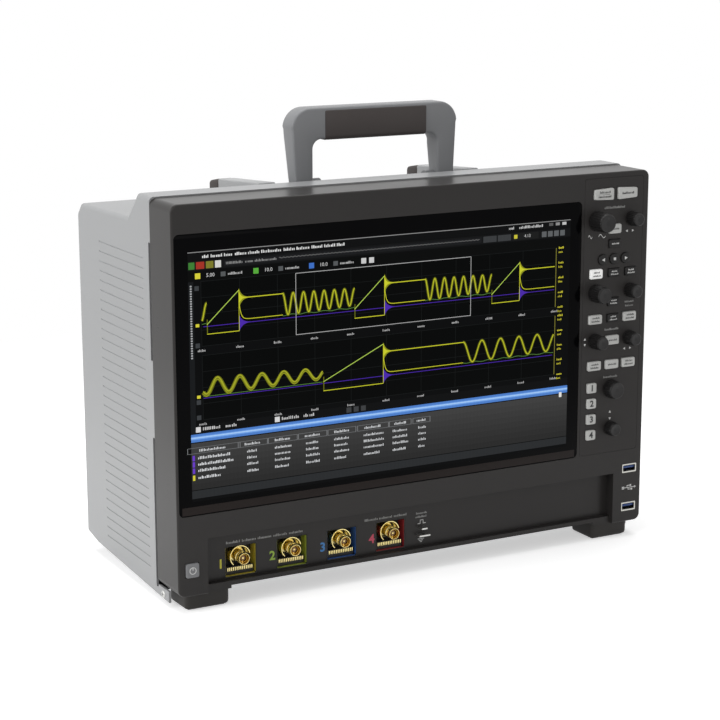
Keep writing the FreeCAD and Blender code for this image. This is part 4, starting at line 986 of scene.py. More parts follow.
        # A small overview of the record runs along the tool row.
        u = np.linspace(76, 256, 900)
        self.line(u, 183.1 + 0.8 * np.abs((u / 1.6) % 2 - 1), 0.35, "#7A7A7A", 3)
        self.bar(259.6, 180.6, 12.6, 5, "#3A3C3E", 2)
        self.bar(273.4, 180.6, 12.6, 5, "#3A3C3E", 2)
        self.bar(287.7, 180.4, 25, 5.4, "#1B1C1C", 2)
        self.bar(289, 181.6, 3.2, 3.2, "#C9C23A", 3)
        self.text("4.13", 302, 183.1, 2.6, "#C9C9C9", 3)
        for u in (316, 322, 328, 334):
            self.bar(u, 180.8, 4.6, 4.6, "#5D6062", 2)
        self.bar(0, 171.6, self.wide, 7.2, "#060707", 1)
        rows = ((8.0, "#D6CF3A", "5.00"), (56.4, "#57A83C", "10.0"), (103.9, "#3E6FC4", "10.0"))
        for u, colour, number in rows:
            self.bar(u - 2.2, 172.9, 4.4, 4.4, colour, 2)
            self.text(number, u + 10.5, 175.1, 3.0, "#C9C9C9", 2)
            self.bar(u + 19, 173.3, 4, 3.6, "#55585A", 2)
            self.words(u + 25, 174.0, (5, 5), 2.0, "#B4B4B4", 1.0)
        for u in (147.5, 154.5):
            self.bar(u, 172.9, 4.4, 4.4, "#C9C9C9", 2)
        self.bar(0, 54, 4.3, 117, "#17191B", 2)
        for v in np.arange(112.0, 168.0, 1.9):
            self.bar(1.4, v, 1.5, 1.2, "#A8AAAC", 3)
        for v in (64, 76, 120, 164):
            self.bar(5.2, v, 3.6, 3.6, "#3B3E41", 2)

    def traces(self) -> None:
        """The two plots with their yellow and violet traces."""
        self.plot(121.1, 170.8, 10, 4)
        self.plot(63.9, 113.9, 10, 4)
        for number in range(-1, 3):
            self.period(137.3, 18.1, 14.9 + 126.6 * number, 126.6, 7, (10.8, 329.4))
        self.period(82.0, 18.4, 113.6, 253.2, 7, (10.8, 329.4))
        u = np.linspace(10.9, 112.9, 1500)
        fade = (u - 10.9) / 102
        v = 83.0 + (6.3 - 2.2 * fade) * (1 - np.cos(2 * np.pi * (u - 13.5) / 18.75)) + 1.6 * fade
        self.line(u, v, 3.4 - 0.8 * fade, "#6C7016", 4)
        self.line(u, v + 0.7, 1.0, "#A4A828", 5)
        self.line(u, v - 1.1, 0.5, "#9A9E24", 5)
        self.line(u, np.full_like(u, 81.9), 0.35, "#5E8F45", 3)
        self.line(u, np.full_like(u, 80.6), 0.5, "#4A2AA8", 3)
        box = ((89.9, 121.8, 158.4, 0.45), (89.9, 170.0, 158.4, 0.45),
               (89.9, 121.8, 0.45, 48.6), (247.9, 121.8, 0.45, 48.6))
        for u0, v0, w, h in box:
            self.bar(u0, v0, w, h, "#B4B4B4", 6)
        for v in (137.3, 82.0):
            self.bar(5.6, v - 1.2, 3.0, 2.4, "#D6CF3A", 4)

    def tables(self) -> None:
        """The status row, the blue bar and the grey table of results."""
        self.bar(0, 53.2, self.wide, 6.6, "#0D0E0F", 1)
        for u in (4, 71):
            self.bar(u, 54.4, 4.2, 4.2, "#D8D8D8", 2)
            self.words(u + 6, 55.6, (9, 4), 2.4, "#C8C8C8", 1.6)
            self.words(u + 25, 55.6, (4, 3), 2.4, "#C8C8C8", 1.2)
        for u in (134, 140.5, 147):
            self.bar(u, 54.4, 4.4, 4.2, "#3E4042", 2)
        self.bar(0, 46.9, self.wide, 6.2, "#4E7FCB", 1)
        self.bar(0, 48.9, self.wide, 2.4, "#74A4E8", 2)
        self.bar(0, 49.8, self.wide, 0.9, "#A6CBF6", 3)
        self.bar(336, 43.6, 2.6, 4.2, "#E4E4E0", 4)
        for k in range(8):
            shade = 0x2A + 3 * k
            self.bar(0, 9.2 + 4.6 * k, self.wide, 4.7, "#%02X%02X%02X" % (shade, shade, shade), 1)
        columns = (18.9, 51.8, 77.7, 103.9, 129.9, 158.0, 183.0, 202.7)
        widths = (44.0, 25.0, 25.0, 25.0, 25.0, 28.0, 20.0, 16.0)
        for u, width in zip(columns, widths):
            for side in (-0.5, 0.5):
                self.bar(u + side * width - 0.2, 37.9, 0.4, 4.6, "#8A8C8E", 3)
            for v in (37.9, 42.3):
                self.bar(u - width / 2, v, width, 0.35, "#6E7072", 3)
            self.words(u - width * 0.28, 39.2, (width * 0.5,), 2.0, "#D0D2D4")
        rows = ((34.2, "#6A3CC8", 26), (29.2, "#6A3CC8", 30), (24.2, "#6A3CC8", 22), (18.6, "#D6CF3A", 18))
        for v, colour, title in rows:
            self.bar(0.9, v - 1.9, 1.9, 4.2, colour, 3)
            self.words(5.5, v - 0.9, (title,), 2.2, "#DCDEE0")
            for u, length in zip(columns[1:], (10, 14, 12, 14, 17, 14, 6)):
                self.words(u - length / 2, v - 0.9, (length * self.rng.uniform(0.75, 1.1),), 2.0, "#CDCFD1")
        self.bar(0, 2.3, self.wide, 6.3, "#2A2C2E", 1)

    def make(self, front: float) -> None:
        """Build the picture on the display."""
        self.draw()
        self.piece.make(front)


@dataclass
class TouchGlass:
    """The glass over the display, with a black border and a fine ground edge."""

    left: float = -216.0
    low: float = 78.6
    wide: float = 366.2
    high: float = 218.6

    def make(self, front: float) -> None:
        """Build the glass, standing for its CAD node."""
        centre = (self.left + self.wide / 2, 0, self.low + self.high / 2)
        piece = Piece("touch_glass", "case", "touch_glass", ("display_glass",))
        steps = [(0, -2.2), (0, -0.7), (0.12, -0.42), (0.4, -0.3)]
        piece.put(carried(rectangle(self.wide, self.high, 4.0, 8), steps, centre), TOUCH_GLASS)
        piece.put(block((centre[0], 0.28, self.low + 3.9), (self.wide - 5.0, 0.02, 6.4), 0.005), BORDER_PRINT)
        piece.make(front)


# ------------------------------------------------------------------ channel inputs
@dataclass
class Channel:
    """One input: a coloured pocket with a dark floor, a gold jack, a collar and a contact strip."""

    number: int
    level: float = 33.5
    jack_level: float = 36.3

    @property
    def x(self) -> float:
        """The input's centre."""
        return -160.4 + CHANNEL_PITCH * (self.number - 1)

    def frame_shape(self) -> Surface:
        """The tube of the pocket, its mouth rounded."""
        outer = rectangle(28.0, 25.8, 0.6, 4)
        inner = rectangle(26.4, 24.2, 0.6, 4)
        return frame_of(outer, inner, -23.0, -10.0, 0.25, (self.x, 0, self.level))

    def jack_shapes(self) -> list[tuple[Surface, Finish]]:
        """The bayonet jack: shell, studs, spring tube, insulator and centre contact."""
        at = (self.x, 0, self.jack_level)
        shell = hollow([(6.2, -27.0), (6.2, -19.2), (6.3, -19.0), (4.8, -18.8), (4.8, -9.8),
                        (5.1, -9.5), (5.1, -9.1), (4.8, -8.8), (4.8, -3.9), (4.55, -3.4)],
                       [(3.0, -27.0), (3.0, -12.4), (4.1, -12.4), (4.1, -3.8), (4.25, -3.4)], at)
        studs = turned([(0.6, -5.5), (1.0, -5.2), (1.0, 5.2), (0.6, 5.5)],
                       (self.x, 7.4, self.jack_level), Facing.UP, 20)
        spring = hollow([(3.5, -12.3), (3.5, -5.6), (3.3, -5.2)],
                        [(2.9, -12.3), (2.9, -5.6), (3.0, -5.2)], at)
        insulator = hollow([(2.3, -12.3), (2.3, -6.3), (2.1, -6.1)],
                           [(0.8, -12.3), (0.8, -6.3), (0.9, -6.1)], at)
        contact = hollow([(0.75, -12.0), (0.75, -6.0)], [(0.45, -12.0), (0.45, -6.0)], at, sides=20)
        back = turned([(6.1, -26.9), (6.1, -19.3), (0.2, -19.3)], at)
        floor = turned([(4.05, -12.6), (4.05, -12.3)], at)
        # The spring tube, the back of the shell and the floor of the bore take the darker gold: painted shade
        # inside the jack.
        return [(shell, GOLD), (studs, GOLD), (spring, GOLD_PAINTED_SHADE), (insulator, PEEK), (contact, GOLD),
                (back, GOLD_PAINTED_SHADE), (floor, GOLD_PAINTED_SHADE)]

    def _arc(self, turn: np.ndarray) -> Surface:
        """A ring's section with soft edges, carried through the angles."""
        section = np.array([(7.5, 20.0), (9.0, 20.0), (9.0, 11.3), (8.8, 11.05),
                            (8.5, 11.0), (8.2, 11.05), (7.6, 11.9), (7.5, 12.2)])
        r, y = section[:, 0], section[:, 1]
        x = self.x + r[None, :] * np.cos(turn)[:, None]
        z = self.jack_level + r[None, :] * np.sin(turn)[:, None]
        return skin(np.stack([x, np.broadcast_to(y, x.shape), z], -1))

    def make(self, frames: Piece, jacks: Piece, collars: Piece, strips: Piece, floors: Piece) -> None:
        """Add this input's shapes to the shared pieces."""
        frames.put(self.frame_shape(), BLACK_PBT)
        colour = CHANNEL_COLOURS[self.number - 1]
        for side in (-1, 1):
            frames.put(block((self.x + side * 13.02, 16.2, self.level), (0.3, 11.0, 22.6), 0.1), colour)
        frames.put(block((self.x, 14.0, self.level - 11.92), (25.4, 7.0, 0.3), 0.1), colour)
        floors.put(block((self.x, 21.6, self.level), (26.3, 2.7, 24.1), 0.2), BLACK_PBT)
        floors.put(block((self.x, 16.4, 24.4), (24.0, 7.2, 5.2), 0.3), BLACK_PBT)
        for surface, finish in self.jack_shapes():
            jacks.put(surface, finish)
        for start, end in ((12, 226), (330, 346)):
            collars.put(self._arc(np.radians(np.linspace(start, end, 61))), GOLD)
        for i in range(14):
            strips.put(block((self.x - 10.4 + 1.6 * i, 12.25, 26.4), (0.9, 0.7, 3.0), 0.12), GOLD)
        strips.put(block((self.x, 12.5, 26.6), (23.0, 0.3, 3.4), 0.1), BLACK_PBT)


@dataclass
class InputBay:
    """The four inputs, the calibration tongues and their printing."""

    def make(self, front: float) -> None:
        """Build the pieces of the bay."""
        frames = Piece("channel_pockets", "case", "channel_plastic", ("channel_frames",))
        floors = Piece("channel_floors", "case", "black_plastic", ("interface_blocks",))
        jacks = Piece("channel_jacks", "case", "connector_metal", ("bnc_jacks",))
        collars = Piece("channel_collars", "case", "gold_plate", ("probe_collars",))
        strips = Piece("channel_contacts", "case", "gold_plate", ("contact_strips",))
        for number in range(1, 5):
            Channel(number).make(frames, jacks, collars, strips, floors)
        for piece in (frames, floors, jacks, collars, strips):
            piece.make(front)
        self.tongues(front)
        self.print_marks(front)

    def tongues(self, front: float) -> None:
        """The two flat tongues, each with a dark disc of painted shade for its hole for a clip."""
        piece = Piece("calibration_tongues", "case", "terminal_metal", ("calibration_terminals",))
        for z, width in ((30.3, 10.5), (36.3, 5.5)):
            outline = rectangle(width, 13.4, 0.5 if width > 8 else 0.8, 4)
            tongue = carried(outline, [(0, -0.6), (0, 0.4), (0.2, 0.6)], (3.7, 10.25, z), Facing.UP)
            piece.put(tongue, TIN)
            # The hole is not cut: the dark disc on the tongue is its painted shade.
            piece.put(turned([(1.5, 0.59), (1.5, 0.72), (0.9, 0.72)], (3.7, 6.0, z), Facing.UP, 24), DARK_INK_AND_PAINTED_SHADE)
        piece.make(front)

    def print_marks(self, front: float) -> None:
        """Numbers and rows of dashes round the pockets, a square wave and a ground sign."""
        piece = Piece("bay_print", "case", "bezel_charcoal")
        y = 9.93
        for i, colour in enumerate(CHANNEL_INKS):
            x = -177.9 + CHANNEL_PITCH * i
            piece.put(lettering(str(i + 1), 7.6, x, 32.6, y, INK_THICK, 0.28), colour)
        rows = ((-173, -106, 9), (-49.5, -10.5, 5))
        for left, right, count in rows:
            piece.put(print_row((left + right) / 2, 48.4, y, right - left, 2.0, count, count // 2), INK_GREY)
        for z, width in ((48.3, 9.5), (45.2, 10.5)):
            piece.put(print_row(3.4, z - 0.8, y, width, 1.7, int(z)), INK_GREY)
        square_wave = ((1.4, 39.3, 2.6, 0.5), (2.6, 40.7, 0.5, 3.2), (4.0, 42.2, 3.2, 0.5),
                       (5.4, 40.7, 0.5, 3.2), (6.6, 39.3, 2.6, 0.5))
        for x, z, w, h in square_wave:
            piece.put(block((x, y, z), (w, INK_THICK, h), 0.05), INK_LIGHT)
        for k, width in enumerate((6.0, 3.8, 1.8)):
            piece.put(block((3.4, y, 26.2 - 1.3 * k), (width, INK_THICK, 0.5), 0.05), INK_LIGHT)
        piece.make(front)


# ------------------------------------------------------------------ data sockets
@dataclass
class DataSocket:
    """A rectangular data socket: a drawn steel shell, a blue tongue and its contacts."""

    z: float
    x: float = 205.7

    def add_to(self, piece: Piece) -> None:
        """Add the shell, its back, the tongue and the contacts."""
        outer, inner = rectangle(15.0, 8.0, 0.8, 4), rectangle(12.6, 5.2, 0.5, 4)
        piece.put(frame_of(outer, inner, -17.2, -0.2, 0.2, (self.x, 0, self.z)), NICKEL)
        piece.put(block((self.x, 17.6, self.z), (14.8, 1.2, 7.8), 0.2), BLACK_PBT)
        piece.put(block((self.x, 9.6, self.z + 0.85), (11.2, 16.4, 1.8), 0.25), BLUE_PBT)
        for k in range(4):
            piece.put(block((self.x - 3.5 + 2.33 * k, 8.0, self.z - 0.12), (1.1, 12.0, 0.2), 0.05), GOLD)


@dataclass
class PanelPrint:
    """Light printing on the control panel and round the data sockets: bars, arrows and waves."""

    level: float = -0.02

    def triangle(self, x: float, z: float, way: tuple[float, float], size: float) -> Surface:
        """A small triangle that points the given way."""
        d = np.array(way, float)
        side = np.array([-d[1], d[0]])
        tip, tail = d * size, -d * size * 0.6
        corners = [tuple(tip), tuple(tail + side * size * 0.85), tuple(tail - side * size * 0.85)]
        steps = [(0, -INK_THICK / 2), (0, INK_THICK / 2)]
        return carried(rounded(corners, 0.1, 2), steps, (x, self.level, z))

    def wave(self, x: float, z: float, width: float, height: float, turns: float, thick: float) -> Surface:
        """A sine line of even thickness: z = height * sin(2 pi turns s) for s from 0 to 1."""
        s = np.linspace(0, 1, 41)
        up = height * np.sin(2 * np.pi * turns * s)
        a = x + width * (s - 0.5)
        return band(a, z + up - thick, a, z + up + thick, -0.09, 0.05)

    def make(self, front: float) -> None:
        """Build the print as one piece."""
        piece = Piece("panel_print", "case", "bezel_charcoal")
        bars = ((183, 290.5, 20, 2.0), (183, 186.8, 14, 1.8), (183, 145.6, 14, 1.8),
                (200.5, 209.0, 9, 1.5), (200.5, 205.6, 8, 1.5))
        for x, z, width, height in bars:
            piece.put(print_row(x, z - height / 2, self.level, width, height, int(z)), INK_GREY)
        left, right, up, down = (-1, 0), (1, 0), (0, 1), (0, -1)
        arrows = ((196.3, 269.6, left), (202.2, 269.6, right), (196.8, 168.5, left), (202.7, 168.5, right),
                  (156.0, 180.2, up), (156.0, 175.6, down), (183.5, 114.6, up), (183.5, 108.8, down))
        for x, z, way in arrows:
            piece.put(self.triangle(x, z, way, 1.35), INK_LIGHT)
        piece.put(self.wave(171, 267, 7, 1.5, 1.0, 0.35), INK_LIGHT)
        piece.put(self.wave(159, 267, 4, 1.3, 1.0, 0.35), INK_LIGHT)
        data_sign = ((205.0, 44.5, 13.0, 0.6), (199.6, 44.5, 2.4, 2.4), (205.5, 46.3, 3.2, 0.6),
                     (203.7, 45.5, 0.6, 2.0), (207.3, 46.3, 1.6, 1.6), (206.6, 42.8, 3.2, 0.6),
                     (204.9, 43.6, 0.6, 2.0), (208.6, 42.8, 1.6, 1.6))
        for x, z, w, h in data_sign:
            piece.put(block((x, self.level, z), (w, INK_THICK, h), 0.05), INK_LIGHT)
        piece.put(self.triangle(212.0, 44.5, right, 1.3), INK_LIGHT)
        piece.make(front)


# ------------------------------------------------------------------ handle
@dataclass
class Handle:
    """The carrying handle: an arch of satin nylon and a soft grip, which fold back together."""

    front_face: float = 80.0
    top: float = 377.6
    bar_low: float = 352.0
    half_top: float = 77.4
    half_low: float = 73.9
    inner: float = 58.0
    outer_round: float = 17.0
    inner_round: float = 8.0
    pivot: tuple[float, float] = (87.0, 313.0)
    end_round: float = 7.0
    edge: float = 2.2

    def rails(self) -> tuple[np.ndarray, np.ndarray]:
        """The outer and the inner line of the arch, point by point opposite each other.

        Each goes up the left leg, round the corner's arc, along the bar, round the right
        corner and down the right leg; the leg leans so that it is narrower at its foot.
        """
        foot = self.pivot[1] - self.end_round
        leg = np.concatenate([foot + self.end_round * (1 - np.cos(np.linspace(0, np.pi / 2, 9))),
                              np.linspace(self.pivot[1] + 3, self.bar_low - self.inner_round, 12)])
        share = (leg - foot) / (self.bar_low - self.inner_round - foot)
        outer_end = self.top - self.outer_round
        outer_z = foot + (outer_end - foot) * share
        lean = (self.half_top - self.half_low) * (outer_z - foot) / (self.top - foot)
        outer_leg = np.stack([-(self.half_low + lean), outer_z], -1)
        inner_leg = np.stack([np.full_like(leg, -self.inner), leg], -1)
        turn = np.linspace(0, np.pi / 2, 13)[1:]
        outer_arc = np.stack([-self.half_top + self.outer_round * (1 - np.cos(turn)),
                              outer_end + self.outer_round * np.sin(turn)], -1)
        inner_arc = np.stack([-self.inner + self.inner_round * (1 - np.cos(turn)),
                              self.bar_low - self.inner_round + self.inner_round * np.sin(turn)], -1)
        bar = np.linspace(0, 1, 25)[1:-1, None]
        flip = np.array([-1, 1])

        def whole(leg_line: np.ndarray, arc: np.ndarray) -> np.ndarray:
            """The left leg and arc, the bar, and their mirror images."""
            middle = arc[-1] * (1 - bar) + arc[-1] * flip * bar
            return np.concatenate([leg_line, arc, middle, arc[::-1] * flip, leg_line[::-1] * flip])
        return whole(outer_leg, outer_arc), whole(inner_leg, inner_arc)

    def depth(self, z: np.ndarray) -> tuple[np.ndarray, np.ndarray]:
        """Front and rear of the arch at a height: a half round foot, then a leg that thickens upwards."""
        y, level = self.pivot
        below = np.clip(level - z, 0, self.end_round)
        half = np.sqrt(np.maximum(self.end_round ** 2 - below ** 2, 0.3))
        rear = y + self.end_round - 0.6 + 5.2 * np.clip((z - level) / 36, 0, 1)
        return np.where(z < level, y - half, self.front_face), np.where(z < level, y + half, rear)

    def arch(self) -> Surface:
        """The arch's skin: a rounded rectangle between the two rails, carried from foot to foot."""
        outer, inner = self.rails()
        z = 0.5 * (outer[:, 1] + inner[:, 1])
        near, far = self.depth(np.where(inner[:, 1] > self.pivot[1] + 1, z, inner[:, 1]))
        turn = np.linspace(0, np.pi / 2, 5)
        reach = np.linalg.norm(outer - inner, axis=1)
        e = np.minimum(self.edge, 0.45 * (far - near))
        along = (outer - inner) / reach[:, None]
        loops = []
        for a, b, start in ((1, 1, 0), (0, 1, 1), (0, 0, 2), (1, 0, 3)):
            angle = turn + start * np.pi / 2
            across = np.where(a, reach - e, e)[:, None] + e[:, None] * np.cos(angle)[None, :]
            back = np.where(b, far - e, near + e)[:, None] + e[:, None] * np.sin(angle)[None, :]
            loops.append((across, back))
        across = np.concatenate([p for p, _ in loops], 1)
        back = np.concatenate([q for _, q in loops], 1)
        x = inner[:, :1] + along[:, :1] * across
        zz = inner[:, 1:] + along[:, 1:] * across
        return skin(np.stack([x, back, zz], -1))

    def grip(self) -> Surface:
        """The grip: a U of even wall round the bar, open at the top, carried along X with soft ends."""
        y0, y1 = self.front_face - 1.0, self.front_face + 20.0
        low, high = self.bar_low - 1.0, 375.0
        turn = np.linspace(0, np.pi / 2, 7)
        r, wall = 4.0, 1.6
        outer = [(y0 + 0.5, high), (y0, high - 0.8)]
        outer += [(y0 + r - r * math.cos(t), low + r - r * math.sin(t)) for t in turn]
        outer += [(y1 - r + r * math.sin(t), low + r - r * math.cos(t)) for t in turn]
        outer += [(y1, high - 0.8), (y1 - 0.5, high)]
        ring = np.array(outer + [(y1 - wall - 2, high), (y0 + wall + 2, high)])
        centre = ring.mean(0)
        xs = np.array([-47.0, -46.8, -46.2, -20, 0, 20, 46.2, 46.8, 47.0])
        shrink = np.array([0.955, 0.985, 1.0, 1.0, 1.0, 1.0, 1.0, 0.985, 0.955])
        rings = centre + (ring - centre)[None] * shrink[:, None, None]
        return skin(np.concatenate([np.broadcast_to(xs[:, None, None], rings.shape[:2] + (1,)), rings], -1))

    def make(self, front: float) -> None:
        """Build the arch and the grip."""
        arch = Piece("handle_arch", "handle", "handle_plastic", ("handle_frame",))
        arch.put(self.arch(), NYLON_GREY)
        for side in (-1, 1):
            facing = Facing.RIGHT if side > 0 else Facing.LEFT
            centre = (side * self.half_low, *self.pivot)
            cap = turned([(4.2, -0.5), (4.2, 0.15), (3.6, 0.4), (0.05, 0.4)], centre, facing, 32)
            arch.put(cap, BLACK_PBT)
        arch.make(front)
        grip = Piece("handle_soft_grip", "handle", "black_plastic", ("handle_grip",))
        grip.put(self.grip(), SOFT_RUBBER)
        grip.make(front)


# ------------------------------------------------------------------ feet, ribs and screws
@dataclass
class FrontFoot:
    """A front foot: a moulded block with a flared outer side and a black pad."""

    side: int

    def make(self, piece: Piece) -> None:
        """Add the foot and its pad."""
        s = self.side
        corners = [(s * 171.8, 6.6), (s * 209.5, 6.6), (s * 210.0, 38.2), (s * 171.8, 38.2)]
        outline = rounded(corners if s > 0 else corners[::-1], 4.0, 6)
        sole = [(1.2, 1.2), (0.3, 2.2), (0.0, 4.0), (0.0, 13.9)]
        piece.put(carried(outline, sole, (0, 0, 0), Facing.UP), FOOT_ABS)
        # The pad lies 3 mm inside the foot's outline.
        pad = [(3.3, 0.0), (3.0, 0.4), (3.0, 1.4)]
        piece.put(carried(outline, pad, (0, 0, 0), Facing.UP), FOOT_PAD)


@dataclass
class RearFoot:
    """A rear foot, which the instrument also stands on when it is laid on its back."""

    side: int

    def make(self, piece: Piece) -> None:
        """Add the foot, its pad and two ribs on its heel."""
        x = self.side * 189.0
        section = rounded([(172.3, 1.2), (205.7, 1.2), (205.7, 41.7), (194.5, 41.7), (194.5, 11.9),
                           (172.3, 11.9)], 0.8, 4)
        piece.put(carried(section, soft_steps(-13.9, 13.9, 0.8), (x, 0, 0), Facing.RIGHT), FOOT_ABS)
        pad = rounded([(174.5, 0.0), (203.5, 0.0), (203.5, 1.3), (174.5, 1.3)], 0.3, 3)
        piece.put(carried(pad, soft_steps(-11.5, 11.5, 0.3), (x, 0, 0), Facing.RIGHT), FOOT_PAD)
        for k in (-1, 1):
            piece.put(block((x + 7 * k, 205.4, 24), (3.0, 1.0, 28.0), 0.45), FOOT_PAD)


@dataclass
class TopRib:
    """A rib on the rear deck with a soft rubber end."""

    side: int

    def make(self, piece: Piece) -> None:
        """Add the rib, a side view carried across its width, and its rubber end."""
        x = self.side * 96.0
        body = rounded([(88.4, 300.2), (166.0, 298.5), (166.0, 313.6), (88.4, 318.8)], 1.0, 4)
        piece.put(carried(body, soft_steps(-8.0, 8.0, 1.4), (x, 0, 0), Facing.RIGHT), POWDER_GREY)
        end = rounded([(165.8, 298.5), (184.6, 298.2), (184.6, 310.4), (165.8, 313.9)], 3.5, 6)
        piece.put(carried(end, soft_steps(-8.0, 8.0, 2.2), (x, 0, 0), Facing.RIGHT), SOFT_RUBBER)


@dataclass
class Screw:
    """A pan head screw with a cross recess."""

    centre: tuple[float, float, float]
    facing: Facing
    radius: float = 3.0

    def add_to(self, piece: Piece) -> None:
        """Add the head, crowned by a quarter circle, and two dark bars of painted shade for its cross recess.
        """
        r = self.radius
        profile = [(r, 0.0), (r, 0.25), (r * 0.93, 0.5), (r * 0.75, 0.68), (r * 0.4, 0.76), (0.05, 0.78)]
        piece.put(turned(profile, self.centre, self.facing, 32), TIN)
        # The cross recess is not cut: these two dark bars are its painted shade.
        for wide, tall in ((r, 0.55), (0.55, r)):
            bar = carried(rectangle(wide, tall, 0.1, 2), [(0, 0.5), (0, 0.795)], self.centre, self.facing)
            piece.put(bar, DARK_INK_AND_PAINTED_SHADE)


@dataclass
class CaseTrim:
    """Feet, ribs, pale louvre fills of painted light, and screws of the case."""

    slots: int = 32
    slot_pitch: float = 8.0

    def make(self, front: float) -> None:
        """Build the trim."""
        feet = Piece("front_foot_pair", "case", "foot_plastic", ("front_feet",))
        rear = Piece("rear_foot_pair", "case", "foot_plastic", ("rear_feet",))
        ribs = Piece("deck_ribs", "case", "rib_rubber", ("top_ribs",))
        for side in (-1, 1):
            FrontFoot(side).make(feet)
            RearFoot(side).make(rear)
            TopRib(side).make(ribs)
        for piece in (feet, rear, ribs):
            piece.make(front)
        louvre_fills = Piece("louvre_fills_painted_light", "case", "case_paint")
        for side in (-1, 1):
            # One shallow pale insert in each slot, paler than the cover: painted light over the slot's shade.
            x, y = np.full(self.slots, side * 217.0 - 0.7), np.full(self.slots, 56.2)
            low = np.stack([x, y, 24.08 + self.slot_pitch * np.arange(self.slots)], -1)
            louvre_fills.put(plates(low, low + np.array([1.4, 93.6, 0.94])), LOUVRE_FILL_PAINTED_LIGHT)
        louvre_fills.make(front)
        screws = Piece("case_screws", "case", "terminal_metal", ("cover_screws",))
        Screw((-218.0, 31.0, 8.5), Facing.LEFT).add_to(screws)
        Screw((218.0, 31.0, 8.5), Facing.RIGHT).add_to(screws)
        for x in (-201.0, 201.0):
            for z in (32.0, 278.0):
                Screw((x, 193.5, z), Facing.BACK).add_to(screws)
        screws.make(front)


# ------------------------------------------------------------------ stage
def seen_directly(tree: bpy.types.NodeTree) -> bpy.types.NodeSocket:
    """One for rays that the camera or a reflection sees, and nought for the rest."""
    path = add(tree, "LightPath")
    rays = {0: path.outputs["Is Camera Ray"], 1: path.outputs["Is Glossy Ray"]}
    return add(tree, "Math", rays, operation="MAXIMUM").outputs[0]


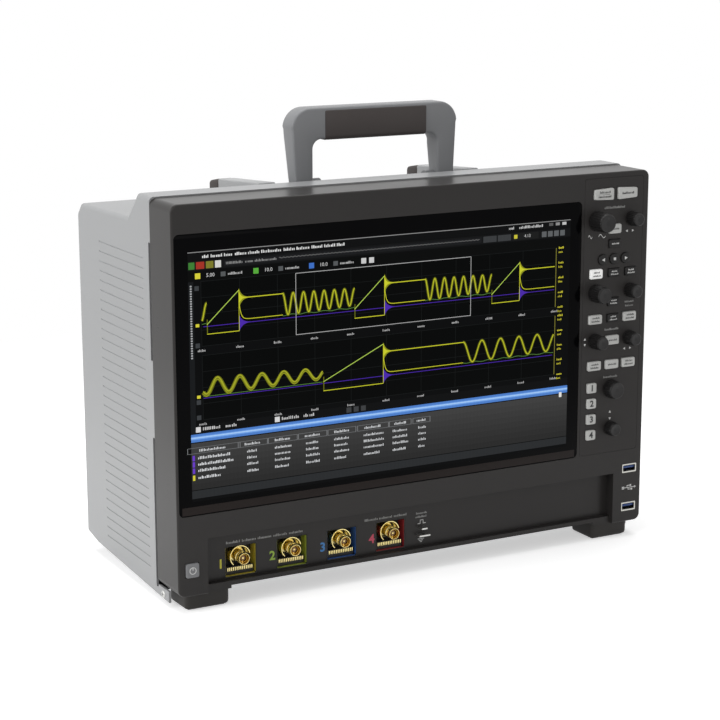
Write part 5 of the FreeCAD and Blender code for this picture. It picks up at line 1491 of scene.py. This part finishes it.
@dataclass
class Studio:
    """Floor, soft lights and the camera."""

    front: float
    floor_half: float = 6.0
    lens: float = 100.15
    camera_place: Point = (-0.794, -1.358, 0.529)
    camera_degrees: Point = (90 - 12.53, 0.1, -28.45)

    def floor(self) -> None:
        """A wide white floor that keeps the shadow."""
        mesh = bpy.data.meshes.new("floor")
        s = self.floor_half
        mesh.from_pydata([(-s, -s, 0), (s, -s, 0), (s, s, 0), (-s, s, 0)], [], [(0, 1, 2, 3)])
        obj = bpy.data.objects.new("floor", mesh)
        bpy.context.scene.collection.objects.link(obj)
        material = bpy.data.materials.new("painted_studio_floor")
        tree = new_tree(material)
        seen = seen_directly(tree)
        paint = add(tree, "BsdfDiffuse", {"Color": linear("#F4F4F4")}).outputs[0]
        glow = add(tree, "Emission", {"Color": (1, 1, 1, 1), "Strength": 0.5}).outputs[0]
        # Near the piece the floor is its own shaded white, lifted towards the backdrop's.
        near = add(tree, "AddShader", {0: paint, 1: glow}).outputs[0]
        backdrop = add(tree, "Emission", {"Color": (1, 1, 1, 1), "Strength": 1.0}).outputs[0]
        place = add(tree, "TexCoord").outputs["Object"]
        away = add(tree, "VectorMath", {0: place}, operation="LENGTH").outputs["Value"]
        # It keeps its shadow there and runs into the white backdrop over half a metre.
        far = add(tree, "MapRange", {"Value": away, "From Min": 0.45, "From Max": 0.95}).outputs["Result"]
        lift = add(tree, "MixShader", {0: far, 1: near, 2: backdrop}).outputs[0]
        pick = add(tree, "MixShader", {0: seen, 1: paint, 2: lift}).outputs[0]
        add(tree, "OutputMaterial", {"Surface": pick})
        mesh.materials.append(material)

    def world(self) -> None:
        """A pale surround: plain white to the camera and in reflections, softer as a light."""
        world = bpy.data.worlds.new("studio")
        bpy.context.scene.world = world
        tree = new_tree(world)
        dim = add(tree, "Background", {"Color": linear("#FFFFFF"), "Strength": 0.36}).outputs[0]
        white = add(tree, "Background", {"Color": (1, 1, 1, 1), "Strength": 1.0}).outputs[0]
        pick = add(tree, "MixShader", {0: seen_directly(tree), 1: dim, 2: white}).outputs[0]
        add(tree, "OutputWorld", {"Surface": pick})

    def lamp(self, name: str, place: Point, aim: Point, size: float, power: float) -> None:
        """A square soft light that looks at a point."""
        data = bpy.data.lights.new(name, "AREA")
        data.size = size
        data.energy = power
        lamp = bpy.data.objects.new(name, data)
        lamp.location = place
        way = np.array(aim) - np.array(place)
        flat = math.hypot(way[0], way[1])
        lamp.rotation_euler = (math.atan2(flat, -way[2]), 0, math.atan2(way[1], way[0]) - math.pi / 2)
        bpy.context.scene.collection.objects.link(lamp)

    def camera(self) -> None:
        """The camera, low on the left of the front."""
        data = bpy.data.cameras.new("camera")
        data.sensor_width = 36.0
        data.lens = self.lens
        camera = bpy.data.objects.new("camera", data)
        x, y, z = self.camera_place
        camera.location = (x, y + self.front * MM, z)
        camera.rotation_euler = [math.radians(turn) for turn in self.camera_degrees]
        bpy.context.scene.collection.objects.link(camera)
        bpy.context.scene.camera = camera

    def make(self) -> None:
        """Set up the studio."""
        self.floor()
        self.world()
        self.lamp("left_softbox", (-2.2, -0.2, 1.1), (0, 0, 0.2), 1.6, 30)
        self.lamp("top_softbox", (0.0, 0.3, 2.2), (0, 0, 0.2), 1.8, 28)
        self.lamp("front_fill", (-0.3, -2.6, 0.9), (0, 0, 0.15), 1.4, 6)
        bpy.context.scene.view_settings.view_transform = "Standard"
        self.camera()


def dress_nodes(nodes: dict) -> None:
    """Give every CAD node that stays visible its own finish."""
    finishes = {
        "front_bezel": ABS_CHARCOAL, "control_panel": ABS_PANEL, "outer_cover": POWDER_GREY,
        "bottom_pan": ZINC_SHEET, "rear_panel": REAR_COAT, "chassis": ZINC_SHEET, "main_board": FR4,
        "keypad_board": FR4, "power_supply": ZINC_SHEET, "lcd_panel": ZINC_SHEET, "fan_frame": BLACK_PBT,
        "fan_rotor": BLACK_PBT, "power_inlet": BLACK_PBT, "rear_connectors": NICKEL, "usb_ports": NICKEL,
        "handle_hubs": NYLON_GREY,
    }
    for name, finish in finishes.items():
        dress(nodes, name, finish)


def main() -> None:
    """Build every sub-assembly in order, then the studio."""
    logging.basicConfig(level=logging.INFO, format="%(message)s")
    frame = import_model()
    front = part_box("front_bezel")[0].y / MM
    dress_nodes(frame["nodes"])
    TouchGlass().make(front)
    Picture().make(front)
    for key in all_keys():
        key.make(front)
    PowerKey().make(front)
    for knob in all_knobs():
        knob.make(front)
    InputBay().make(front)
    sockets = Piece("data_sockets", "case", "connector_metal", ("usb_ports",))
    for z in (61.8, 27.5):
        DataSocket(z).add_to(sockets)
    sockets.make(front)
    PanelPrint().make(front)
    Handle().make(front)
    CaseTrim().make(front)
    Studio(front).make()


if __name__ == "__main__":
    main()
